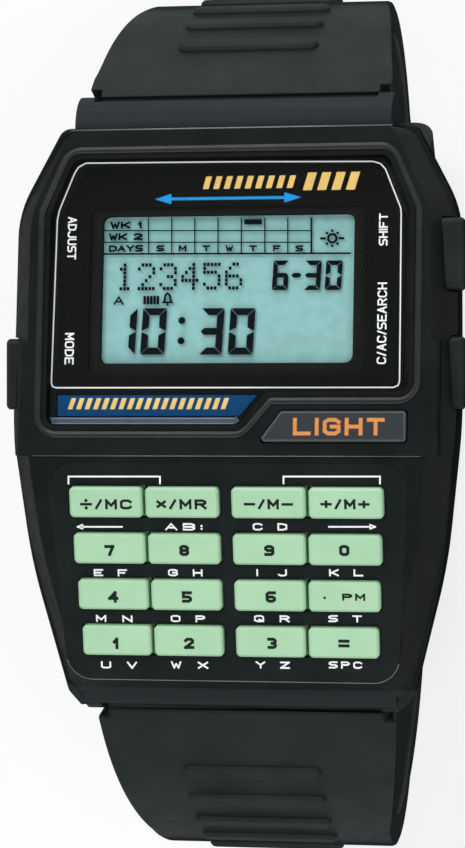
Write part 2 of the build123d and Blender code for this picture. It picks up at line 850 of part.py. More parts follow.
def buckle_frame():
    half = buckle_thickness / 2
    length = buckle_reach + buckle_boss_radius
    centre_y = (buckle_boss_radius - buckle_reach) / 2
    outer = Pos(0, centre_y) * RectangleRounded(2 * buckle_outer, length, buckle_corner_radius)
    window_low = buckle_front_width - buckle_reach
    window_high = buckle_boss_radius + overrun
    window = Pos(0, (window_low + window_high) / 2) * Rectangle(2 * buckle_inner, window_high - window_low)
    frame = prism(outer - window, -half, half)
    notch_width = tongue_width + 2 * tongue_notch_gap
    notch = Pos(0, -buckle_reach, -half) * Box(
        notch_width, 3 * buckle_front_width, 2 * (tongue_thickness - tongue_tip_overlap))
    bore = along_x(buckle_bar_radius, -2 * buckle_outer, 2 * buckle_outer, 0, 0)
    return frame - notch - bore


def buckle_tongue():
    """A flat pointer looped round the bar, resting in the notch of the front bar."""
    half = buckle_thickness / 2
    low = -half - tongue_tip_overlap
    high = low + tongue_thickness - sliding_gap / 2
    loop = along_x(tongue_loop_radius, -tongue_width / 2, tongue_width / 2, 0, 0)
    reach = buckle_reach - tongue_tip_overlap
    pointer = Pos(0, -reach / 2, (low + high) / 2) * Box(tongue_width, reach, high - low)
    bore = along_x(buckle_bar_radius + buckle_bar_gap, -2 * tongue_width, 2 * tongue_width, 0, 0)
    return loop + pointer - bore


def keeper():
    """A loop round the straight stretch of the upper strap, with room for the free end."""
    path = upper_path()
    before_run = sum(piece[4] for piece in path.pieces[:3])
    y, z, angle = path.at(before_run + keeper_along_run_share * upper_straight_run)
    inner_x = strap_tail_half_width + keeper_side_gap
    inner_low = -strap_thickness / 2 - keeper_inner_gap
    inner_high = strap_thickness / 2 + keeper_tail_room
    height = inner_high - inner_low
    hole = RectangleRounded(2 * inner_x, height, keeper_corner_radius)
    outer = RectangleRounded(
        2 * (inner_x + keeper_wall), height + 2 * keeper_wall, keeper_corner_radius + keeper_wall)
    ring = extrude(Plane.XZ * (outer - hole), amount=keeper_length / 2, both=True)
    return Pos(0, y, z) * Rot(X=-angle) * Pos(0, 0, (inner_high + inner_low) / 2) * ring


# Assembling the case

def case_body():
    base = case_outline(case_base_inset, case_base_end_inset, case_base_end_inset)
    belly = case_outline()
    body = lofted(base, 0, belly, case_base_rise)
    body += prism(belly, case_base_rise, case_height)
    body &= below_front(bezel_rise, bezel_rise)
    body += bezel()
    body += hood(upper_bar_y, upper_bar_z)
    body += other_end(hood(lower_bar_y, lower_bar_z)) & below_front(0, 0)
    body -= strap_recess(upper_bar_y, upper_bar_z)
    body -= other_end(strap_recess(lower_bar_y, lower_bar_z))
    body -= prism(back_outline(-seat_gap), -overrun, back_thickness)
    cavity = prism(back_outline(cavity_inset, cavity_corner_radius), 0, case_height)
    body -= cavity & below_front(display_wall, keypad_depth)
    body -= gasket()
    body -= on_display(prism(crystal_outline(-seal_width), crystal_floor, overrun))
    body -= on_display(prism(crystal_outline(window_ledge), -case_height / 2, overrun))
    body -= on_keypad(prism(keypad_outline(), plate_low, overrun))
    body -= on_keypad(prism(keypad_outline(well_inset, well_bottom_inset), -keypad_depth, overrun))
    body -= on_display(prism(light_outline(sliding_gap), -case_height / 2, overrun))
    for x, y in screw_places():
        body -= screw_hole(x, y)
    for name, y in right_pushers:
        body -= pusher_room(y, pusher_z, False)
    body -= mirrored_x(pusher_room(lower_pusher_y, pusher_z, False))
    body -= mirrored_x(pusher_room(setting_pusher_y, setting_pusher_z, True))
    return body


def case_back():
    plate = prism(back_outline(seat_gap), 0, back_thickness)
    for x, y in screw_places():
        plate -= screw_hole(x, y)
    return plate


# Module

module_half_width = pusher_room_x - module_side_gap
module_top_y = back_top_y - cavity_inset - module_gap
display_under_z = (case_height + backlight_low * cos(radians(display_tilt))
                   - (lcd_view_high_y + lcd_margin - ridge_y) * sin(radians(display_tilt)))
board_bottom_z = back_thickness + board_level_share * (display_under_z - back_thickness)
board_room = board_bottom_z - back_thickness
battery_thickness = battery_thickness_share * board_room
battery_low_y = ridge_y + battery_ridge_gap
battery_radius = min(module_half_width - battery_side_room,
                     (module_top_y - battery_top_room - battery_low_y) / 2)
battery_y = battery_low_y + battery_radius
buzzer_high_y = battery_low_y - buzzer_battery_gap
buzzer_radius = (buzzer_high_y - back_bottom_y - buzzer_end_room) / 2
buzzer_y = buzzer_high_y - buzzer_radius
quartz_radius = quartz_radius_share * board_room
connector_y = lcd_view_low_y - connector_drop
connector_width = 2 * (lcd_half_width - connector_side_room)


def module_outline():
    """The module's plan: the cavity's own, cut back at the sides to leave the pushers room."""
    room = Rectangle(2 * module_half_width, 4 * case_top_y)
    return back_outline(cavity_inset + module_gap, cavity_corner_radius) & room


def lcd_outline(grow=0.0):
    width = 2 * (lcd_half_width + grow)
    return Pos(window_shift_x, lcd_centre_y) * Rectangle(width, lcd_length + 2 * grow)


def connector_block(grow=0.0):
    """The striped rubber strip that joins the display to the board."""
    top_z = case_height
    low_z = board_bottom_z + board_thickness
    strip = Pos(window_shift_x, connector_y, (low_z + top_z) / 2) * Box(
        connector_width + 2 * grow, connector_depth + 2 * grow, top_z - low_z)
    return strip & below_front(-backlight_low, -backlight_low)


def module_frame():
    low_z = board_bottom_z + board_thickness
    frame = prism(module_outline(), low_z, case_height)
    frame &= below_front(-backlight_low, keypad_depth + seat_gap)
    return frame - connector_block(connector_pocket_gap)


def display_bezel():
    """The dark frame round the liquid crystal display."""
    view = Pos(window_shift_x, lcd_centre_y) * RectangleRounded(
        2 * lcd_view_half_width, lcd_view_high_y - lcd_view_low_y, lcd_view_radius)
    return prism(lcd_outline() - view, lcd_top, lcd_bezel_top)


def light_button():
    flange_top = -display_wall - key_rest_gap
    low = flange_top - key_flange_thickness
    cap = prism(light_outline(), low, light_proud)
    cap = chamfer(cap.faces().sort_by(Axis.Z)[-1].edges(), light_proud / 2)
    foot = light_outline(light_flange) & Rectangle(2 * module_half_width, 4 * case_top_y)
    return cap + prism(foot, low, flange_top)


def main():
    os.makedirs("parts", exist_ok=True)
    save("case_body", case_body())
    save("case_back", case_back())
    save("back_gasket", gasket())
    save("back_screws", Compound([screw(x, y) for x, y in screw_places()]))

    crystal = prism(crystal_outline(), -crystal_thickness, 0)
    crystal = chamfer(crystal.faces().sort_by(Axis.Z)[-1].edges(), crystal_edge_bevel)
    save("crystal", on_display(crystal))
    seal = prism(crystal_outline(-seal_width + seat_gap) - crystal_outline(-seat_gap), -crystal_thickness, 0)
    save("crystal_seal", on_display(seal))
    mask = crystal_outline(window_ledge + seat_gap) - mask_window() - accent_outline(seat_gap)
    save("display_mask", on_display(prism(mask, mask_low, crystal_floor)))
    save("accent_plate", on_display(prism(accent_outline(), mask_low, crystal_floor)))
    save("display_bezel", on_display(display_bezel()))
    save("lcd_panel", on_display(prism(lcd_outline(), lcd_low, lcd_top)))
    save("lcd_backlight", on_display(prism(lcd_outline(-seat_gap), backlight_low, lcd_low)))
    save("lcd_connector", connector_block())
    save("light_button", on_display(light_button()))

    save("keypad_plate", on_keypad(keypad_plate()))
    mat = keypad_outline(well_inset + seat_gap, well_bottom_inset + seat_gap)
    save("key_mat", on_keypad(prism(mat, keypad_board_top, mat_top)))
    save("keypad_board", on_keypad(prism(mat, keypad_board_top - keypad_board_thickness, keypad_board_top)))
    for row, column, x, y, width in key_places():
        save("key_r%d_c%d" % (row + 1, column + 1), on_keypad(key_cap(x, y, width, column)))

    save("module_frame", module_frame())
    board = prism(module_outline(), board_bottom_z, board_bottom_z + board_thickness)
    save("circuit_board", board)
    battery_top = board_bottom_z - seat_gap
    battery_low = battery_top - battery_thickness
    save("battery", prism(Pos(0, battery_y) * Circle(battery_radius), battery_low, battery_top))
    clamp = Pos(0, battery_y) * Rectangle(2 * (module_half_width - clamp_side_room), clamp_width)
    save("battery_clamp", prism(clamp, battery_low - clamp_thickness, battery_low))
    disc_top = back_thickness + buzzer_thickness
    disc = prism(Pos(0, buzzer_y) * Circle(buzzer_radius), back_thickness, disc_top)
    element = Pos(0, buzzer_y) * Circle(buzzer_element_share * buzzer_radius)
    disc += prism(element, disc_top, disc_top + buzzer_thickness)
    save("buzzer_disc", disc)
    chip = Pos(0, buzzer_y) * Rectangle(chip_size, chip_size)
    chip_low = board_bottom_z - chip_thickness_share * board_room
    save("controller_chip", prism(chip, chip_low, board_bottom_z))
    quartz_x = chip_size / 2 + quartz_chip_gap + quartz_radius
    quartz = Pos(quartz_x, buzzer_y, board_bottom_z - quartz_radius) * Cylinder(
        quartz_radius, quartz_length, rotation=(90, 0, 0))
    save("quartz_crystal", quartz)

    springs = []
    for name, y in right_pushers:
        save(name, pusher(y, pusher_z, pusher_reach, False))
        save(name + "_clip", pusher_clip(y, pusher_z))
        springs.append(pusher_spring(y, pusher_z))
    save("pusher_left_lower", mirrored_x(pusher(lower_pusher_y, pusher_z, pusher_reach, False)))
    save("pusher_left_lower_clip", mirrored_x(pusher_clip(lower_pusher_y, pusher_z)))
    springs.append(mirrored_x(pusher_spring(lower_pusher_y, pusher_z)))
    setting = pusher(setting_pusher_y, setting_pusher_z, setting_pusher_reach, True)
    save("pusher_left_setting", mirrored_x(setting))
    save("pusher_left_setting_clip", mirrored_x(pusher_clip(setting_pusher_y, setting_pusher_z)))
    springs.append(mirrored_x(pusher_spring(setting_pusher_y, setting_pusher_z)))
    save("pusher_springs", Compound(springs))

    save("strap_upper", strap_upper())
    save("strap_lower", strap_lower())
    save("spring_bar_upper", spring_bar(upper_bar_y, upper_bar_z))
    save("spring_bar_lower", other_end(spring_bar(lower_bar_y, lower_bar_z)))
    save("buckle_frame", at_buckle(buckle_frame()))
    save("buckle_bar", at_buckle(along_x(buckle_bar_radius, -buckle_outer, buckle_outer, 0, 0)))
    save("buckle_tongue", at_buckle(buckle_tongue()))
    save("strap_keeper", keeper())


main()
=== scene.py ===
import json
import math

import bmesh
import bpy
from mathutils import Matrix, Vector

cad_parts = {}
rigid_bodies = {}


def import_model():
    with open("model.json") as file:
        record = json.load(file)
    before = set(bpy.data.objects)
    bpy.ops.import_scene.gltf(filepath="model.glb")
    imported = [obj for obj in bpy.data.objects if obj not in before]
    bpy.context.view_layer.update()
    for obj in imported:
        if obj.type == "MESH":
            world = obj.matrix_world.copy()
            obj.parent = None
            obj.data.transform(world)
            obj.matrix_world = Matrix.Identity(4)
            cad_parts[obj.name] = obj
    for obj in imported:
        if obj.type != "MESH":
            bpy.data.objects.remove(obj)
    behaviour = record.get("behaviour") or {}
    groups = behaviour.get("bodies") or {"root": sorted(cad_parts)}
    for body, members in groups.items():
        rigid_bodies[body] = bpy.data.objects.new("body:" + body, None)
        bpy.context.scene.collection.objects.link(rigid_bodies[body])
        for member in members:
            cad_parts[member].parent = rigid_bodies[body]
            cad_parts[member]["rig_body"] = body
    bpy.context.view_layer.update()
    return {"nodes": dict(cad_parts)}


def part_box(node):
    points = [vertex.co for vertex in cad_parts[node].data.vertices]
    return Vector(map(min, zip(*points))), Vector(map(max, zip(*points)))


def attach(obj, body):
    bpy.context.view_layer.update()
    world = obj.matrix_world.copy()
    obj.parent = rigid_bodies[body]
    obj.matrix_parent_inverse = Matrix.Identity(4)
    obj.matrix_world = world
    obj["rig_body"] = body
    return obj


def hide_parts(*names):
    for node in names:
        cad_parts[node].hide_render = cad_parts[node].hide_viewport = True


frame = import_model()
nodes = frame["nodes"]

# General sizes, in metres
mm = 0.001
print_height = 0.02 * mm
merge_distance = 0.002 * mm

# The two tilted faces of the front, as in the solids
back_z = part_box("case_back")[0].z
ridge_y = -2.7 * mm
case_height = 12.0 * mm
keypad_step = 0.22 * mm
display_tilt = -5.6
keypad_tilt = 10.0
crystal_thickness = 1.4 * mm
seat_gap = 0.03 * mm
key_top = 0.65 * mm
light_top = 0.25 * mm

# The camera, at the photograph's place. Pixels are counted in its 465 by 848 frame.
photo_width = 465
photo_height = 848
camera_turn = math.radians(11.0)
camera_distance = 273.0 * mm
focal_pixels = 3248.0
middle_pixel_x = 224.0
sensor_size = 36.0


def face_place(z, tilt):
    """The matrix that lays a flat drawing, with Z at zero on the face, onto a tilted face."""
    ridge = Matrix.Translation((0, ridge_y, z))
    back = Matrix.Translation((0, -ridge_y, 0))
    return ridge @ Matrix.Rotation(math.radians(tilt), 4, "X") @ back


display_face = face_place(back_z + case_height, display_tilt)
keypad_face = face_place(back_z + case_height - keypad_step, keypad_tilt)

camera_right = Vector((math.cos(camera_turn), 0, -math.sin(camera_turn)))
camera_up = Vector((0, 1, 0))
camera_back = Vector((math.sin(camera_turn), 0, math.cos(camera_turn)))
sideways = (photo_width / 2 - middle_pixel_x) * camera_distance / focal_pixels
camera_target = Vector((0, 0, back_z + case_height))
camera_place = camera_target + camera_back * camera_distance + camera_right * sideways


def seen(pixel_x, pixel_y, place, height=0.0):
    """The point of a flat drawing on a face that shows at a pixel of the photograph."""
    across = (pixel_x - photo_width / 2) / focal_pixels
    along = (photo_height / 2 - pixel_y) / focal_pixels
    ray = camera_right * across + camera_up * along - camera_back
    inverse = place.inverted()
    start = inverse @ camera_place
    step = inverse.to_3x3() @ ray
    point = start + step * ((height - start.z) / step.z)
    return point.x, point.y


# Materials. Scales count the marks of a texture in a metre.

mottle_scale = 260.0
dull_spot_scale = 700.0
grain_scale = 9000.0
brush_scale = 1500.0
ink_scale = 1200.0
floor_scale = 6.0
roughness_swing = 0.05
brush_swing = 0.08
brush_depth = 0.006 * mm
brush_dark_share = 0.72
ink_dark_share = 0.86
wear_and_sheen_likeness = 0.80
flat_likeness = 0.99
shiny_facing = 0.45
dull_facing = 0.85


def shader_tree(name):
    """A new material with its node tree, its shader and its output."""
    material = bpy.data.materials.new(name)
    material.use_nodes = True
    tree = material.node_tree
    tree.nodes.clear()
    output = tree.nodes.new("ShaderNodeOutputMaterial")
    shader = tree.nodes.new("ShaderNodeBsdfPrincipled")
    tree.links.new(shader.outputs["BSDF"], output.inputs["Surface"])
    return material, tree, shader, output


def noise(tree, scale, stretch=(1, 1, 1), detail=3.0):
    """Noise in the object's own coordinates, stretched along its axes."""
    place = tree.nodes.new("ShaderNodeTexCoord")
    mapping = tree.nodes.new("ShaderNodeMapping")
    mapping.inputs["Scale"].default_value = stretch
    texture = tree.nodes.new("ShaderNodeTexNoise")
    texture.inputs["Scale"].default_value = scale
    texture.inputs["Detail"].default_value = detail
    tree.links.new(place.outputs["Object"], mapping.inputs["Vector"])
    tree.links.new(mapping.outputs["Vector"], texture.inputs["Vector"])
    return texture.outputs["Fac"]


def spread(tree, value, low, high, from_low=0.3, from_high=0.7):
    """A value carried into another range."""
    ranged = tree.nodes.new("ShaderNodeMapRange")
    ranged.inputs["From Min"].default_value = from_low
    ranged.inputs["From Max"].default_value = from_high
    ranged.inputs["To Min"].default_value = low
    ranged.inputs["To Max"].default_value = high
    tree.links.new(value, ranged.inputs["Value"])
    return ranged.outputs["Result"]


def mixed(tree, share, first, second):
    """A mix of two colours by a share. The first may be a socket."""
    mix = tree.nodes.new("ShaderNodeMix")
    mix.data_type = "RGBA"
    if isinstance(first, bpy.types.NodeSocket):
        tree.links.new(first, mix.inputs["A"])
    else:
        mix.inputs["A"].default_value = (*first, 1)
    mix.inputs["B"].default_value = (*second, 1)
    tree.links.new(share, mix.inputs["Factor"])
    return mix.outputs["Result"]


def edge_share(tree, radius):
    """A share that rises along sharp edges, where the colour turns lighter as partly real wear and partly
    painted highlight, and the softened normal there.
    """
    soft = tree.nodes.new("ShaderNodeBevel")
    soft.samples = 4
    soft.inputs["Radius"].default_value = radius
    plain = tree.nodes.new("ShaderNodeNewGeometry")
    likeness = tree.nodes.new("ShaderNodeVectorMath")
    likeness.operation = "DOT_PRODUCT"
    tree.links.new(soft.outputs["Normal"], likeness.inputs[0])
    tree.links.new(plain.outputs["Normal"], likeness.inputs[1])
    share = spread(tree, likeness.outputs["Value"], 1.0, 0.0, wear_and_sheen_likeness, flat_likeness)
    return share, soft.outputs["Normal"]


def bumped(tree, shader, value, distance, normal=None):
    """Fine relief from a value, over a normal if one is given."""
    bump = tree.nodes.new("ShaderNodeBump")
    bump.inputs["Distance"].default_value = distance
    if normal:
        tree.links.new(normal, bump.inputs["Normal"])
    tree.links.new(value, bump.inputs["Height"])
    tree.links.new(bump.outputs["Normal"], shader.inputs["Normal"])


def moulded(name, colour, wear_and_sheen, roughness, shine=0.3, grain=0.012 * mm, edge=0.12 * mm, mottle=0.4):
    """Moulded resin or rubber: mottled, finely grained, lighter at its edges as wear and painted highlight,
    and dull from the side.
    """
    material, tree, shader, output = shader_tree(name)
    base = mixed(tree, spread(tree, noise(tree, mottle_scale), 0.0, mottle), colour, wear_and_sheen)
    share, soft_normal = edge_share(tree, edge)
    # Edges take the lighter colour: partly wear, partly painted highlight.
    tree.links.new(mixed(tree, share, base, wear_and_sheen), shader.inputs["Base Color"])
    spots = noise(tree, dull_spot_scale)
    rough = spread(tree, spots, roughness - roughness_swing, roughness + roughness_swing)
    tree.links.new(rough, shader.inputs["Roughness"])
    view = tree.nodes.new("ShaderNodeLayerWeight")
    level = spread(tree, view.outputs["Facing"], shine, 0.0, shiny_facing, dull_facing)
    tree.links.new(level, shader.inputs["Specular IOR Level"])
    bumped(tree, shader, noise(tree, grain_scale), grain, soft_normal)
    return material


def painted_sheen_ends(material, colour, upper_y, lower_y, blend=0.08 * mm):
    """Give a moulded material another colour beyond two places along the watch, as a painted highlight there.
    """
    tree = material.node_tree
    shader = next(node for node in tree.nodes if node.type == "BSDF_PRINCIPLED")
    place = tree.nodes.new("ShaderNodeTexCoord")
    parts = tree.nodes.new("ShaderNodeSeparateXYZ")
    tree.links.new(place.outputs["Object"], parts.inputs["Vector"])
    upper = spread(tree, parts.outputs["Y"], 0.0, 1.0, upper_y - blend, upper_y + blend)
    lower = spread(tree, parts.outputs["Y"], 1.0, 0.0, lower_y - blend, lower_y + blend)
    either = tree.nodes.new("ShaderNodeMath")
    either.operation = "MAXIMUM"
    tree.links.new(upper, either.inputs[0])
    tree.links.new(lower, either.inputs[1])
    before = shader.inputs["Base Color"].links[0].from_socket
    tree.links.new(mixed(tree, either.outputs["Value"], before, colour), shader.inputs["Base Color"])


def brushed(name, colour, roughness, stretch):
    """Metal with fine brush lines along one direction."""
    material, tree, shader, output = shader_tree(name)
    lines = noise(tree, brush_scale, stretch, 2.0)
    dark = tuple(brush_dark_share * channel for channel in colour)
    tree.links.new(mixed(tree, spread(tree, lines, 0.0, 1.0), colour, dark), shader.inputs["Base Color"])
    rough = spread(tree, lines, roughness - brush_swing, roughness + brush_swing)
    tree.links.new(rough, shader.inputs["Roughness"])
    shader.inputs["Metallic"].default_value = 1.0
    bumped(tree, shader, lines, brush_depth)
    return material


def printed(name, colour, roughness=0.5, shine=0.1, glow=0.0):
    """Printed ink, very slightly uneven. Its glow is painted light that lifts ink lying in shade."""
    material, tree, shader, output = shader_tree(name)
    dark = tuple(ink_dark_share * channel for channel in colour)
    shade = spread(tree, noise(tree, ink_scale), 0.0, 1.0)
    tree.links.new(mixed(tree, shade, colour, dark), shader.inputs["Base Color"])
    shader.inputs["Roughness"].default_value = roughness
    shader.inputs["Specular IOR Level"].default_value = shine
    shader.inputs["Emission Color"].default_value = (*colour, 1)
    shader.inputs["Emission Strength"].default_value = glow
    return material


def clear(name, tint, shine_roughness, index):
    """Thin clear glass: it lets light through and mirrors a little of what is round it."""
    material = bpy.data.materials.new(name)
    material.use_nodes = True
    tree = material.node_tree
    tree.nodes.clear()
    output = tree.nodes.new("ShaderNodeOutputMaterial")
    through = tree.nodes.new("ShaderNodeBsdfTransparent")
    through.inputs["Color"].default_value = (*tint, 1)
    shine = tree.nodes.new("ShaderNodeBsdfGlossy")
    shine.inputs["Roughness"].default_value = shine_roughness
    fresnel = tree.nodes.new("ShaderNodeFresnel")
    fresnel.inputs["IOR"].default_value = index
    side = tree.nodes.new("ShaderNodeNewGeometry")
    front = tree.nodes.new("ShaderNodeMath")
    front.operation = "SUBTRACT"
    front.inputs[0].default_value = 1.0
    front.use_clamp = True
    share = tree.nodes.new("ShaderNodeMath")
    share.operation = "MULTIPLY"
    mix = tree.nodes.new("ShaderNodeMixShader")
    tree.links.new(side.outputs["Backfacing"], front.inputs[1])
    tree.links.new(fresnel.outputs["Fac"], share.inputs[0])
    tree.links.new(front.outputs["Value"], share.inputs[1])
    tree.links.new(share.outputs["Value"], mix.inputs["Fac"])
    tree.links.new(through.outputs["BSDF"], mix.inputs[1])
    tree.links.new(shine.outputs["BSDF"], mix.inputs[2])
    tree.links.new(mix.outputs["Shader"], output.inputs["Surface"])
    return material


along_y = (1, 0.02, 1)
along_x = (0.02, 1, 1)
resin = moulded("resin", (0.0046, 0.0058, 0.0058), (0.014, 0.0175, 0.0175), 0.42, 0.04)
# Past these places the hoods at both ends of the case are coloured lighter: a painted highlight.
upper_hood_y = 25.3 * mm
lower_hood_y = -22.7 * mm
painted_sheen_ends(resin, (0.0165, 0.0208, 0.0222), upper_hood_y, lower_hood_y)
strap_resin = moulded(
    "strap_resin", (0.0130, 0.0167, 0.0175), (0.027, 0.034, 0.035), 0.48, 0.05, edge=0.25 * mm)
pusher_resin = moulded("pusher_resin", (0.0095, 0.012, 0.012), (0.030, 0.034, 0.034), 0.36, 0.05)
plate_resin = moulded("plate_resin", (0.0052, 0.0078, 0.0080), (0.016, 0.020, 0.020), 0.45, 0.05)
# The light button's pale edge colour is a painted highlight: its bright rims.
light_resin = moulded(
    "light_resin", (0.0250, 0.0320, 0.0360), (0.30, 0.31, 0.32), 0.34, 0.08, edge=0.17 * mm, mottle=0.01)
# Pale, glossy resin for the slim edge beads: its light colour is a painted highlight.
painted_glint_resin = moulded("painted_glint_resin", (0.06, 0.065, 0.068), (0.16, 0.17, 0.18), 0.25, 0.5, 0.004 * mm, 0.03 * mm)
key_plastic = moulded(
    "key_plastic", (0.315, 0.535, 0.335), (0.42, 0.65, 0.44), 0.38, grain=0.004 * mm, edge=0.10 * mm)
frame_black = moulded("frame_black", (0.005, 0.0055, 0.0055), (0.010, 0.011, 0.011), 0.6, 0.04)
seal_black = moulded("seal_black", (0.003, 0.0035, 0.0035), (0.010, 0.011, 0.011), 0.5, 0.05)
lip_resin = moulded("lip_resin", (0.005, 0.0065, 0.0065), (0.016, 0.020, 0.020), 0.28, 0.20)
mask_black = printed("mask_black", (0.003, 0.003, 0.0032), 0.6, 0.03)
accent_blue = printed("accent_blue", (0.002, 0.055, 0.175), 0.6, 0.03)
edge_blue = printed("edge_blue", (0.045, 0.075, 0.12), 0.2, 0.5)
lcd_green = printed("lcd_green", (0.275, 0.53, 0.52), 0.6, 0.05)
white_ink = printed("white_ink", (0.92, 0.93, 0.94))
# The window line's ink glows: painted light that lifts it where the case shades it.
painted_light_line_ink = printed("painted_light_line_ink", (0.62, 0.63, 0.64), glow=0.5)
key_ink = printed("key_ink", (0.006, 0.010, 0.008))
gold_ink = printed("gold_ink", (0.86, 0.57, 0.17))
orange_ink = printed("orange_ink", (0.58, 0.235, 0.065), 0.4, 0.3)
# Dark brown for the painted shade round the raised letters of the light button.
painted_shade_ink = printed("painted_shade_ink", (0.16, 0.040, 0.008), 0.5, 0.2)
blue_ink = printed("blue_ink", (0.01, 0.29, 0.70))
# Pale blue-grey for thin painted highlights on the blue band.
painted_glint_ink = printed("painted_glint_ink", (0.26, 0.33, 0.42))
lcd_ink = printed("lcd_ink", (0.004, 0.006, 0.008), 0.6, 0.0)
crystal_glass = clear("crystal_glass", (0.98, 0.985, 0.985), 0.03, 1.15)
cell_glass = clear("cell_glass", (1.0, 1.0, 1.0), 0.3, 1.02)
back_steel = brushed("back_steel", (0.60, 0.60, 0.59), 0.30, along_y)
turned_steel = brushed("turned_steel", (0.62, 0.62, 0.62), 0.28, along_x)
buckle_steel = brushed("buckle_steel", (0.55, 0.56, 0.57), 0.32, along_x)
spring_steel = brushed("spring_steel", (0.50, 0.50, 0.50), 0.35, along_x)
battery_steel = brushed("battery_steel", (0.66, 0.66, 0.65), 0.30, along_x)
buzzer_brass = brushed("buzzer_brass", (0.75, 0.55, 0.26), 0.35, along_x)
board_green = moulded("board_green", (0.02, 0.16, 0.06), (0.04, 0.22, 0.09), 0.4)
module_white = moulded("module_white", (0.70, 0.70, 0.66), (0.76, 0.76, 0.72), 0.5)
chip_black = moulded("chip_black", (0.015, 0.015, 0.016), (0.04, 0.04, 0.04), 0.5)
mat_grey = moulded("mat_grey", (0.12, 0.12, 0.12), (0.18, 0.18, 0.18), 0.6)


# Making pieces

def body_of(node):
    return nodes[node]["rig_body"]


def dress(piece, material, body):
    """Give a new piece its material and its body."""
    piece.data.materials.clear()
    piece.data.materials.append(material)
    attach(piece, body)
    return piece


def new_piece(name, mesh):
    piece = bpy.data.objects.new(name, mesh)
    bpy.context.scene.collection.objects.link(piece)
    return piece


def rounded(node, material, width, chosen=None, sharp=32.0):
    """A copy of a node's form with its sharp edges rounded, all or the chosen ones, in its place."""
    source = nodes[node].data
    points = [vertex.co.copy() for vertex in source.vertices]
    mesh = bpy.data.meshes.new(node + "_rounded")
    mesh.from_pydata(points, [], [tuple(face.vertices) for face in source.polygons])
    form = bmesh.new()
    form.from_mesh(mesh)
    bmesh.ops.remove_doubles(form, verts=form.verts, dist=merge_distance)
    bmesh.ops.dissolve_limit(
        form, angle_limit=math.radians(1.0), verts=form.verts, edges=form.edges, delimit={"NORMAL"})
    for face in form.faces:
        face.smooth = True
    weight = form.edges.layers.float.new("bevel_weight_edge")
    for edge in form.edges:
        edge.smooth = len(edge.link_faces) == 2 and edge.calc_face_angle(0.0) < math.radians(sharp)
        edge[weight] = float(not edge.smooth and (chosen is None or chosen(edge)))
    form.to_mesh(mesh)
    form.free()
    piece = new_piece(node + "_rounded", mesh)
    bevel = piece.modifiers.new("bevel", "BEVEL")
    bevel.width = width
    bevel.segments = 2
    bevel.limit_method = "WEIGHT"
    bevel.use_clamp_overlap = False
    bevel.harden_normals = True
    dress(piece, material, body_of(node))
    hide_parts(node)
    return piece


layer_count = 5
layer_rise = 0.0006 * mm


def flat_piece(name, outlines, place, low, high, material, body, slot_name):
    """Flat outlines raised on a face as one piece, neighbours a hair apart so that no tops coincide."""
    form = bmesh.new()
    for index, outline in enumerate(outlines):
        rise = high - low + index % layer_count * layer_rise
        base = [form.verts.new((x, y, low)) for x, y in outline]
        face = form.faces.new(base)
        raised = bmesh.ops.extrude_face_region(form, geom=[face])
        tops = [item for item in raised["geom"] if isinstance(item, bmesh.types.BMVert)]
        bmesh.ops.translate(form, verts=tops, vec=(0, 0, rise))
    bmesh.ops.recalc_face_normals(form, faces=form.faces)
    form.transform(place)
    mesh = bpy.data.meshes.new(name)
    form.to_mesh(mesh)
    form.free()
    return dress(new_piece(name, mesh), material, body)


mitre_limit_share = 0.5


def ribbon(points, width, closed=False):
    """Outlines of the short stretches of a line of even width, mitred at its corners."""
    count = len(points)
    sides = []
    for index, point in enumerate(points):
        here = Vector(point)
        before = Vector(points[index - 1]) if index or closed else None
        after = Vector(points[(index + 1) % count]) if index < count - 1 or closed else None
        first = (here - before).normalized() if before is not None else None
        second = (after - here).normalized() if after is not None else None
        first = first or second
        second = second or first
        bisector = (first + second).normalized()
        normal = Vector((-bisector.y, bisector.x))
        reach = width / 2 / max(normal.dot(Vector((-first.y, first.x))), mitre_limit_share)
        sides.append((here + normal * reach, here - normal * reach))
    pairs = list(zip(sides, sides[1:] + sides[:1])) if closed else list(zip(sides, sides[1:]))
    return [(a[0], b[0], b[1], a[1]) for a, b in pairs]


def disc(centre, radius, count=16):
    """A round outline."""
    x, y = centre
    steps = [2 * math.pi * index / count for index in range(count)]
    return [(x + radius * math.cos(step), y + radius * math.sin(step)) for step in steps]


# Letters drawn with a pen. Each point is two digits, across 0 to 4 and up 0 to 6.
glyphs = {
    "A": "00 26 40|12 32", "B": "00 06 36 45 44 33 03|33 42 41 30 00", "C": "45 36 16 05 01 10 30 41",
    "D": "00 06 26 45 41 20 00", "E": "46 06 00 40|03 33", "F": "46 06 00|03 33",
    "G": "45 36 16 05 01 10 30 41 43 23", "H": "00 06|40 46|03 43", "I": "20 26", "J": "46 41 30 10 01",
    "K": "00 06|46 02|13 40", "L": "06 00 40", "M": "00 06 22 46 40", "N": "00 06 40 46",
    "O": "10 01 05 16 36 45 41 30 10", "P": "00 06 36 45 44 33 03",
    "Q": "10 01 05 16 36 45 41 30 10|22 40", "R": "00 06 36 45 44 33 03|23 40",
    "S": "46 16 05 04 13 33 42 41 30 00", "T": "06 46|26 20", "U": "06 01 10 30 41 46",
    "V": "06 20 46", "W": "06 10 24 30 46", "X": "00 46|06 40", "Y": "06 23 46|23 20", "Z": "06 46 00 40",
    "0": "10 01 05 16 36 45 41 30 10", "1": "14 26 20", "2": "05 16 36 45 44 00 40",
    "3": "06 36 45 44 33 42 41 30 00|33 23", "4": "30 36 02 42", "5": "46 06 03 33 42 41 30 00",
    "6": "46 16 05 01 10 30 41 42 33 03", "7": "06 46 20",
    "8": "13 04 05 16 36 45 44 33 13 02 01 10 30 41 42 33", "9": "00 30 41 45 36 16 05 04 13 43",
    "-": "03 43", "+": "03 43|21 25", "x": "11 45|15 41", "/": "00 26", "=": "01 41|05 45",
    "<": "45 03 41", ">": "05 43 01", ":": "01|04", ".": "02", "d": "03 43|26|20"}
glyph_height = 6
word_space = 3.4
dot_share = 0.7
sharp_turn_share = -0.1


